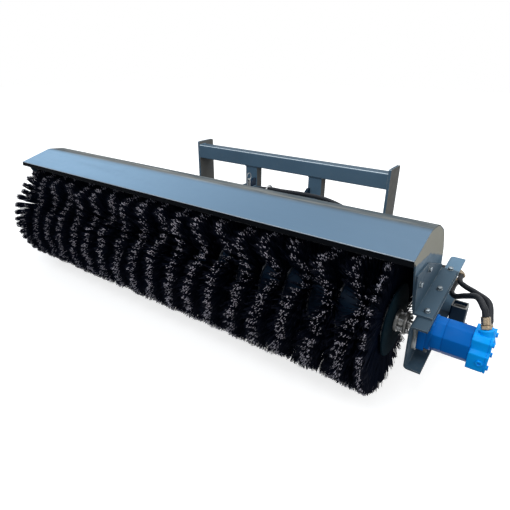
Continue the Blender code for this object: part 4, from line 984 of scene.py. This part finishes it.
class SWEEPER_OT_fittings(bpy.types.Operator):
    """Build the hose ends, elbows, quick couplers and the guide eye"""
    bl_idname = "sweeper.fittings"
    bl_label = "Hose fittings"

    def execute(self, context):
        for word, (seat, out) in ports().items():
            self.fit("hose_end_", self.hose_end(aimed(seat + out * 0.0003, out)),
                     "motor_fitting_", word, 30)
        for word, end in HOSE_ENDS.items():
            self.fit("swept_elbow_", self.elbow(*end), "elbow_", word, 40)
        for word, lane in COUPLER_LANES.items():
            spot = aimed(near_axis(COUPLER_X, lane, COUPLER_Z), (-1, 0, 0))
            self.fit("coupler_sleeve_", self.coupler(spot), "quick_coupler_", word, 30)
            cap = spun([(0.0, 0.0898), (0.0120, 0.0898), (0.0132, 0.0886), (0.0132, 0.0720),
                        (0.0145, 0.0712), (0.0145, 0.0672), (0.0, 0.0672)], spot, 40)
            piece("coupler_cap_" + word, cap, "broom", "moulded_rubber")
        piece("guide_eye", self.guide(), "broom", "zinc_plate", "hose_guide", 50)
        return {"FINISHED"}

    def fit(self, name, shape, node, word, angle):
        """One of a pair of plated fittings, in place of its node."""
        piece(name + word, shape, "broom", "yellow_zinc", node + word, angle)

    def hose_end(self, spot):
        """A swivel nut, a neck and a crimped ferrule with three grooves."""
        profile = [(0.0, 0.0338), (0.0112, 0.0338), (0.0124, 0.0330)]
        for groove in (0.0300, 0.0245, 0.0190):
            profile += [(0.0124, groove + 0.0012), (0.0116, groove + 0.0006),
                        (0.0116, groove - 0.0006), (0.0124, groove - 0.0012)]
        profile += [(0.0124, 0.0150), (0.0108, 0.0140), (0.0092, 0.0136), (0.0092, 0.0),
                    (0.0, 0.0)]
        nut = prism(hexagon(0.0256), 0.0110, spot @ Matrix.Translation((0, 0, 0.0010)), 0.0011)
        return gathered(spun(profile, spot, 40), nut)

    def elbow(self, x, y, z):
        """A swept steel elbow with a nut at each end."""
        bend, start, steps = 0.026, y + GAP, 14
        knee = start + 0.010
        line = [(x, start, z), (x, knee, z)]
        for k in range(1, steps):
            turn = math.radians(90) * k / steps
            line.append((x - bend * (1 - math.cos(turn)), knee + bend * math.sin(turn), z))
        line += [(x - bend, y + ELBOW_BACK, z), (x - ELBOW_ALONG, y + ELBOW_BACK, z)]
        tip = near_axis(x - ELBOW_ALONG + 0.0005, y + ELBOW_BACK, z)
        nuts = [prism(hexagon(0.0232), 0.0090, aimed(near_axis(x, start, z), (0, 1, 0)), 0.0010),
                prism(hexagon(0.0205), 0.0080, aimed(tip, (1, 0, 0)), 0.0010)]
        return gathered(tube([near_axis(*spot) for spot in line], 0.0088, 24), *nuts)

    def coupler(self, spot):
        """Hex base, barrel and a sliding sleeve with gripping grooves."""
        profile = [(0.0, 0.0680), (0.0110, 0.0680), (0.0116, 0.0670), (0.0116, 0.0600),
                   (0.0142, 0.0594)]
        for ring in range(6):
            low = 0.0560 - 0.0034 * ring
            profile += [(0.0149, low + 0.0012), (0.0149, low - 0.0004), (0.0141, low - 0.0010)]
        profile += [(0.0149, 0.0350), (0.0149, 0.0300), (0.0136, 0.0292), (0.0118, 0.0288),
                    (0.0118, 0.0150), (0.0104, 0.0140), (0.0104, 0.0), (0.0, 0.0)]
        base = prism(hexagon(0.0256), 0.0120, spot @ Matrix.Translation((0, 0, 0.0050)), 0.0010)
        return gathered(spun(profile, spot, 40), base)

    def guide(self):
        """A wire eye round both supply hoses, on a bent stem."""
        x, y, z = 0.132, 0.420, 0.1715
        stem = [(0.329, 0.0505), (0.329, 0.080), (0.340, 0.104), (y - 0.031, z - 0.042),
                (y - 0.012, z - 0.0245)]
        line = smooth_route([near_axis(x, *point) for point in stem], 0.006)
        return gathered(torus(0.0250, 0.0040, aimed(near_axis(x, y, z), (1, 0, 0))),
                        tube(line, 0.0048, 20))


class SWEEPER_OT_bearing(bpy.types.Operator):
    """Build the flange bearing that carries the far end of the brush"""
    bl_idname = "sweeper.bearing"
    bl_label = "Bearing"

    def execute(self, context):
        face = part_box("bearing_housing_left")[1].x
        out = aimed(near_axis(face), (-1, 0, 0))
        bore = 0.0131
        seat = bore + 0.0075
        hub = spun([(seat, 0.0262), (0.0268, 0.0262), (0.0300, 0.0235), (0.0318, 0.0170),
                    (0.0350, 0.0128), (0.0410, 0.0114), (0.0410, 0.0090), (seat, 0.0090)], out)
        plate = prism(rounded_square(0.094, 0.014), BEARING_PLATE,
                      along_x(face - BEARING_PLATE, ARM_SLOPE), 0.0018)
        nipple = spun([(0.0, 0.0085), (0.0014, 0.0085), (0.0021, 0.0070), (0.0015, 0.0056),
                       (0.0024, 0.0048), (0.0030, 0.0020), (0.0030, -0.0030), (0.0, -0.0030)],
                      aimed(near_axis(face - 0.020, 0.0, 0.0312), (0, 0, 1)), 20)
        piece("bearing_casting", gathered(hub, plate, nipple), "broom", "dark_enamel",
              "bearing_housing_left")
        race = spun([(bore, 0.0292), (bore + 0.0042, 0.0292), (bore + 0.0048, 0.0250),
                     (bore + 0.0074, 0.0244), (bore + 0.0074, 0.0100), (bore, 0.0100)], out)
        piece("bearing_race", race, "broom", "turned_steel")
        return {"FINISHED"}


class SWEEPER_OT_handles(bpy.types.Operator):
    """Build the lock pin's ring and the stands' clamp screws"""
    bl_idname = "sweeper.handles"
    bl_label = "Handles"

    def execute(self, context):
        ring = torus(0.018, 0.0018, aimed(middle_of("lock_pin_ring"), (1, 0, 0)))
        piece("lock_pull_ring", ring, "lock", "zinc_plate", "lock_pin_ring")
        for word in ("left", "right"):
            low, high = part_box("stand_screw_" + word)
            foot = Vector(((low.x + high.x) / 2, low.y, (low.z + high.z) / 2))
            piece("clamp_screw_" + word, self.screw(foot, high.y - low.y), "clamp_" + word,
                  "zinc_plate", "stand_screw_" + word, 40)
        return {"FINISHED"}

    def screw(self, foot, run):
        """A threaded screw with a plain neck, and a bar with round ends through its head."""
        pitch, crest, root = 0.0022, 0.0060, 0.0051
        profile = [(0.0, run), (0.0048, run), (crest, run - 0.0012), (crest, run - 0.0150)]
        for k in range(int((run - 0.0180) / pitch)):
            top = run - 0.0160 - pitch * k
            profile += [(crest, top), (root, top - 0.0011)]
        profile += [(0.0050, 0.0010), (0.0042, 0.0), (0.0, 0.0)]
        shank = spun(profile, aimed(foot, (0, 1, 0)), 24)
        half = 0.0298
        bar = spun([(0.0, half), (0.0026, half - 0.0006), (0.0040, half - 0.0026),
                    (0.0036, half - 0.0050), (0.0036, 0.0050 - half), (0.0040, 0.0026 - half),
                    (0.0026, 0.0006 - half), (0.0, -half)],
                   aimed(foot + Vector((0, run - 0.007, 0)), (1, 0, 0)), 20)
        return gathered(shank, bar)


class SWEEPER_OT_hoses(bpy.types.Operator):
    """Build the hoses on the routes that their solids have"""
    bl_idname = "sweeper.hoses"
    bl_label = "Hoses"

    def execute(self, context):
        look = context.scene.sweeper_hose
        for node, points in self.routes(look.width).items():
            piece(node + "_cover", tube(points, look.width / 2, 24), "broom", "hose_cover",
                  node, 60)
        return {"FINISHED"}

    def routes(self, width):
        """Points of each hose, by the name of the node that it replaces."""
        run = {}
        motor = {
            "top": [(1.073, 0.070, 0.112), (1.035, 0.140, 0.070), (1.002, 0.210, 0.024),
                    (0.980, 0.275, 0.000), (0.974, 0.330, -0.006)],
            "rear": [(1.100, 0.165, 0.056), (1.058, 0.215, 0.052), (1.022, 0.262, 0.040),
                     (0.996, 0.310, 0.028), (0.987, 0.345, 0.024)],
        }
        for word, (seat, out) in ports().items():
            start = seat + out * 0.0346
            lead = [start + out * width, *(near_axis(*p) for p in motor[word])]
            end = near_axis(*HOSE_ENDS[word])
            run["motor_hose_" + word] = [start, *smooth_route(lead, 0.010), end]
        supply = {
            "top": [(0.850, 0.398, -0.010), (0.750, 0.386, 0.000), (0.660, 0.386, 0.036),
                    (0.580, 0.398, 0.094), (0.510, 0.420, 0.138), (0.440, 0.420, 0.160),
                    (0.360, 0.420, 0.168), (0.280, 0.420, 0.167), (0.200, 0.420, 0.163),
                    (0.132, 0.420, 0.161), (0.040, 0.404, 0.142), (-0.050, 0.356, 0.106),
                    (-0.120, 0.311, 0.076)],
            "rear": [(0.850, 0.400, 0.020), (0.750, 0.386, 0.024), (0.660, 0.386, 0.060),
                     (0.580, 0.398, 0.118), (0.511, 0.420, 0.160), (0.440, 0.420, 0.182),
                     (0.372, 0.420, 0.189), (0.280, 0.420, 0.188), (0.200, 0.420, 0.184),
                     (0.132, 0.420, 0.182), (0.040, 0.412, 0.164), (-0.050, 0.380, 0.124),
                     (-0.120, 0.343, 0.082)],
        }
        for word, points in supply.items():
            x, y, z = HOSE_ENDS[word]
            x, y, lane = x - ELBOW_ALONG, y + ELBOW_BACK, COUPLER_LANES[word]
            start = near_axis(x - GAP, y, z)
            end = near_axis(COUPLER_X + GAP, lane, COUPLER_Z)
            lead = [near_axis(x - width, y, z), *(near_axis(*p) for p in points),
                    near_axis(-0.188, lane, COUPLER_Z)]
            run["supply_hose_" + word] = [start, *smooth_route(lead, 0.014), end]
        return run


class SWEEPER_OT_fasteners(bpy.types.Operator):
    """Build the hex bolts that hold the brackets and the bearing"""
    bl_idname = "sweeper.fasteners"
    bl_label = "Fasteners"

    def execute(self, context):
        plated("bolt_zinc", (0.20, 0.24, 0.27), 0.24, (0.05, 0.055, 0.055))
        far = []
        for node in NODES:
            if not node.startswith("bracket_bolt"):
                continue
            low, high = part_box(node)
            head = middle_of(node)
            if "side" in node:
                seat = low.x + 0.0054
                place = aimed(Vector((seat, head.y, head.z)), (1, 0, 0))
                mirrored = aimed(Vector((-seat, head.y, head.z)), (-1, 0, 0))
            else:
                tilt = Matrix.Rotation(ARM_SLOPE, 4, "X")
                seat = head + tilt @ Vector((0, 0, 1)) * (high.z - head.z - 0.0095)
                place = Matrix.Translation(seat) @ tilt
                mirrored = Matrix.Translation((-seat.x, seat.y, seat.z)) @ tilt
            piece(node + "_detail", self.hex_bolt(place, 0.0145), "broom", "bolt_zinc",
                  node, 30)
            far.append(self.hex_bolt(mirrored, 0.0178))
        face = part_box("bearing_housing_left")[1].x - BEARING_PLATE
        for a in (-0.033, 0.033):
            for b in (-0.033, 0.033):
                place = along_x(face, ARM_SLOPE, a, b) @ Matrix.Rotation(math.pi, 4, "X")
                far.append(self.hex_bolt(place, 0.0150))
        piece("far_side_bolts", gathered(*far), "broom", "bolt_zinc", angle=30)
        return {"FINISHED"}

    def hex_bolt(self, place, across):
        """A chamfered hex head on a washer, its seat at local z = 0."""
        wide, collar = across * 0.645, across * 0.48
        return gathered(
            spun([(0.0, 0.002), (wide - 0.0004, 0.002), (wide, 0.0016), (wide, 0.0), (0.0, 0.0)],
                 place, 40),
            spun([(0.0, 0.0032), (across * 0.46, 0.0032), (collar, 0.0028), (collar, 0.0018),
                  (0.0, 0.0018)], place, 32),
            prism(hexagon(across), 0.0066, place @ Matrix.Translation((0, 0, 0.002)), 0.0008),
            spun([(0.0, -0.0001), (0.0049, -0.0001), (0.0049, -0.0052), (0.0, -0.0052)],
                 place, 24))


class SWEEPER_OT_welds(bpy.types.Operator):
    """Lay the weld beads where the frame's tubes and plates meet"""
    bl_idname = "sweeper.welds"
    bl_label = "Welds"

    def execute(self, context):
        for name, body, start, end, radius in self.seams():
            start, end = Vector(start), Vector(end)
            count = max(6, int((end - start).length / 0.0028))
            line = [start.lerp(end, i / count) for i in range(count + 1)]
            bead = tube(line, radius, 8, lambda i: 1.0 + 0.22 * (i % 2))
            piece(name, bead, body, "weld_paint", angle=60)
        # The hem's pale colour is a painted highlight along the fold.
        fold, reach = math.radians(115.1), 0.2838
        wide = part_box("hood_shell")[1].x
        y, z = reach * math.cos(fold), reach * math.sin(fold)
        hem = tube([near_axis(-wide, y, z), near_axis(wide, y, z)], 0.0015, 12)
        piece("hood_hem", hem, "broom", "fold_highlight_enamel", angle=60)
        return {"FINISHED"}

    def inner_face(self, node, word):
        """X of the face that this side's plate turns to the middle."""
        low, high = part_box(node + word)
        return low.x if word == "right" else high.x

    def seams(self):
        """Name, body, ends and radius of each straight bead."""
        bar, rail, cross, tongue = (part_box(node) for node in (
            "hitch_top_bar", "hitch_lower_rail", "cross_tube", "pivot_tongue"))
        for word in ("left", "right"):
            low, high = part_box("hitch_post_" + word)
            for z, end in ((low.z, "foot"), (high.z, "head")):
                yield ("weld_post_%s_%s_front" % (word, end), "hitch",
                       (low.x, low.y, z), (high.x, low.y, z), 0.0030)
                for x, side in ((low.x, "inner"), (high.x, "outer")):
                    yield ("weld_post_%s_%s_%s" % (word, end, side), "hitch",
                           (x, low.y, z), (x, high.y, z), 0.0026)
            x = self.inner_face("hitch_end_plate_", word)
            for y, z, end in ((bar[0].y, bar[1].z, "top"), (rail[0].y, rail[1].z, "low")):
                yield ("weld_plate_%s_%s" % (word, end), "hitch",
                       (x, y + 0.004, z), (x, y + 0.054, z), 0.0032)
            x = self.inner_face("arm_", word)
            low, high = cross
            yield ("weld_arm_%s_top" % word, "broom",
                   (x, low.y + 0.006, high.z), (x, high.y - 0.006, high.z), 0.0030)
            yield ("weld_arm_%s_rear" % word, "broom",
                   (x, high.y, low.z + 0.006), (x, high.y, high.z - 0.006), 0.0030)
            low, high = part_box("lug_gusset_" + word)
            for x, side in ((low.x, "inner"), (high.x, "outer")):
                yield ("weld_gusset_%s_%s" % (word, side), "hitch",
                       (x, low.y + 0.004, low.z), (x, high.y, low.z), 0.0026)
        y, z = tongue[0].y, tongue[0].z
        for x, side in ((-0.035, "left"), (0.035, "right")):
            yield ("weld_tongue_%s" % side, "broom", (x, y, z + 0.004), (x, y, z + 0.066), 0.0030)


class SWEEPER_OT_studio(bpy.types.Operator):
    """Set the white floor, the lamps and the camera"""
    bl_idname = "sweeper.studio"
    bl_label = "Studio"

    def execute(self, context):
        look = context.scene.sweeper_studio
        self.floor()
        self.world(look)
        target = Vector((0.1, -0.70, 0.25))
        for name, way, size, power, colour in (
                ("top_lamp", (0.7, 0.9, 2.6), 2.4, look.top, (1.0, 0.985, 0.95)),
                ("front_lamp", (0.3, -1.9, 3.2), 1.6, look.front, (0.96, 0.98, 1.0)),
                ("side_lamp", (3.0, -0.9, 1.2), 1.8, look.side, (1.0, 0.90, 0.76))):
            self.lamp(name, target + Vector(way), target, size, power, colour)
        self.camera(look)
        context.scene.view_settings.view_transform = "Standard"
        return {"FINISHED"}

    def floor(self):
        """White to the camera, brighter away from the broom, and grey where its shadow falls."""
        shape = bmesh.new()
        bmesh.ops.create_grid(shape, x_segments=1, y_segments=1, size=14.0)
        mesh = bpy.data.meshes.new("studio_floor")
        shape.to_mesh(mesh)
        shape.free()
        made = bpy.data.objects.new("studio_floor", mesh)
        bpy.context.scene.collection.objects.link(made)
        f = Finish("floor_white")
        f.set(Base_Color=(0.46, 0.46, 0.46), Roughness=0.9, Specular_IOR_Level=0.0)
        far = f.away((0.0, AXIS_Y, 0.0), (0.42, 1.0, 0.0)).between(0.30, 0.90)
        glow = f.node("ShaderNodeEmission", None,
                      {"Color": f.mix((0.76, 0.76, 0.76), (1.0, 1.0, 1.0), far), "Strength": 1.0})
        dull = f.node("ShaderNodeBsdfDiffuse", None, {"Color": (0.12, 0.12, 0.12)})
        lit = f.node("ShaderNodeAddShader", None, {0: glow, 1: Value(f, f.shader.outputs[0])})
        both = f.node("ShaderNodeMixShader", None, {0: f.seen(), 1: dull, 2: lit})
        f.feed(f.tree.nodes["Material Output"].inputs["Surface"], both)
        mesh.materials.append(f.material)

    def world(self, look):
        """A pale blue sky for the object, and plain white behind it."""
        made = bpy.data.worlds.new("studio_world")
        bpy.context.scene.world = made
        made.use_nodes = True
        sky = Nodes(made.node_tree)
        around = sky.node("ShaderNodeBackground", None,
                          {"Color": (0.80, 0.90, 1.0), "Strength": look.sky})
        white = sky.node("ShaderNodeBackground", None,
                         {"Color": (1.0, 1.0, 1.0), "Strength": 1.0})
        both = sky.node("ShaderNodeMixShader", None, {0: sky.seen(), 1: around, 2: white})
        sky.feed(sky.tree.nodes["World Output"].inputs["Surface"], both)

    def lamp(self, name, place, target, size, power, colour):
        """A round lamp that is turned to the target."""
        light = bpy.data.lights.new(name, "AREA")
        light.shape = "DISK"
        light.size = size
        light.energy = power
        light.color = colour
        made = bpy.data.objects.new(name, light)
        made.matrix_world = aimed(place, place - target)
        bpy.context.scene.collection.objects.link(made)

    def camera(self, look):
        """The photograph's view of the broom."""
        data = bpy.data.cameras.new("camera")
        data.lens = look.lens
        data.sensor_width = 36.0
        data.clip_end = 60.0
        az, el = look.azimuth, look.elevation
        back = Vector((math.sin(az) * math.cos(el), -math.cos(az) * math.cos(el), math.sin(el)))
        side = Vector((math.cos(az), math.sin(az), 0.0))
        up = back.cross(side)
        across = side * math.cos(look.roll) + up * math.sin(look.roll)
        upright = up * math.cos(look.roll) - side * math.sin(look.roll)
        made = bpy.data.objects.new("camera", data)
        turn = Matrix((across, upright, back)).transposed().to_4x4()
        made.matrix_world = Matrix.Translation(look.eye) @ turn
        bpy.context.scene.collection.objects.link(made)
        bpy.context.scene.camera = made


STEPS = (SWEEPER_OT_finishes, SWEEPER_OT_brush, SWEEPER_OT_coupling, SWEEPER_OT_motor,
         SWEEPER_OT_hoses, SWEEPER_OT_fittings, SWEEPER_OT_bearing, SWEEPER_OT_handles,
         SWEEPER_OT_fasteners, SWEEPER_OT_welds, SWEEPER_OT_studio)
LOOKS = {"sweeper_brush": BrushLook, "sweeper_paint": PaintLook, "sweeper_hose": HoseLook,
         "sweeper_studio": StudioLook}


class SWEEPER_PT_panel(bpy.types.Panel):
    """Lists the sweeper's steps and their sizes and colours"""
    bl_idname = "SWEEPER_PT_panel"
    bl_label = "Angle Sweeper"
    bl_space_type = "VIEW_3D"
    bl_region_type = "UI"
    bl_category = "Sweeper"

    def draw(self, context):
        for step in STEPS:
            self.layout.operator(step.bl_idname)
        for name, look in LOOKS.items():
            box = self.layout.box()
            group = getattr(context.scene, name)
            for field in look.__annotations__:
                box.prop(group, field)


def register():
    for look in LOOKS.values():
        bpy.utils.register_class(look)
    for name, look in LOOKS.items():
        setattr(bpy.types.Scene, name, bpy.props.PointerProperty(type=look))
    for step in (*STEPS, SWEEPER_PT_panel):
        bpy.utils.register_class(step)


def unregister():
    for step in reversed((*STEPS, SWEEPER_PT_panel)):
        bpy.utils.unregister_class(step)
    for name, look in LOOKS.items():
        delattr(bpy.types.Scene, name)
        bpy.utils.unregister_class(look)


def main():
    register()
    bpy.ops.sweeper.finishes()
    bpy.ops.sweeper.brush()
    bpy.ops.sweeper.coupling()
    bpy.ops.sweeper.motor()
    bpy.ops.sweeper.hoses()
    bpy.ops.sweeper.fittings()
    bpy.ops.sweeper.bearing()
    bpy.ops.sweeper.handles()
    bpy.ops.sweeper.fasteners()
    bpy.ops.sweeper.welds()
    bpy.ops.sweeper.studio()


if __name__ == "__main__":
    main()
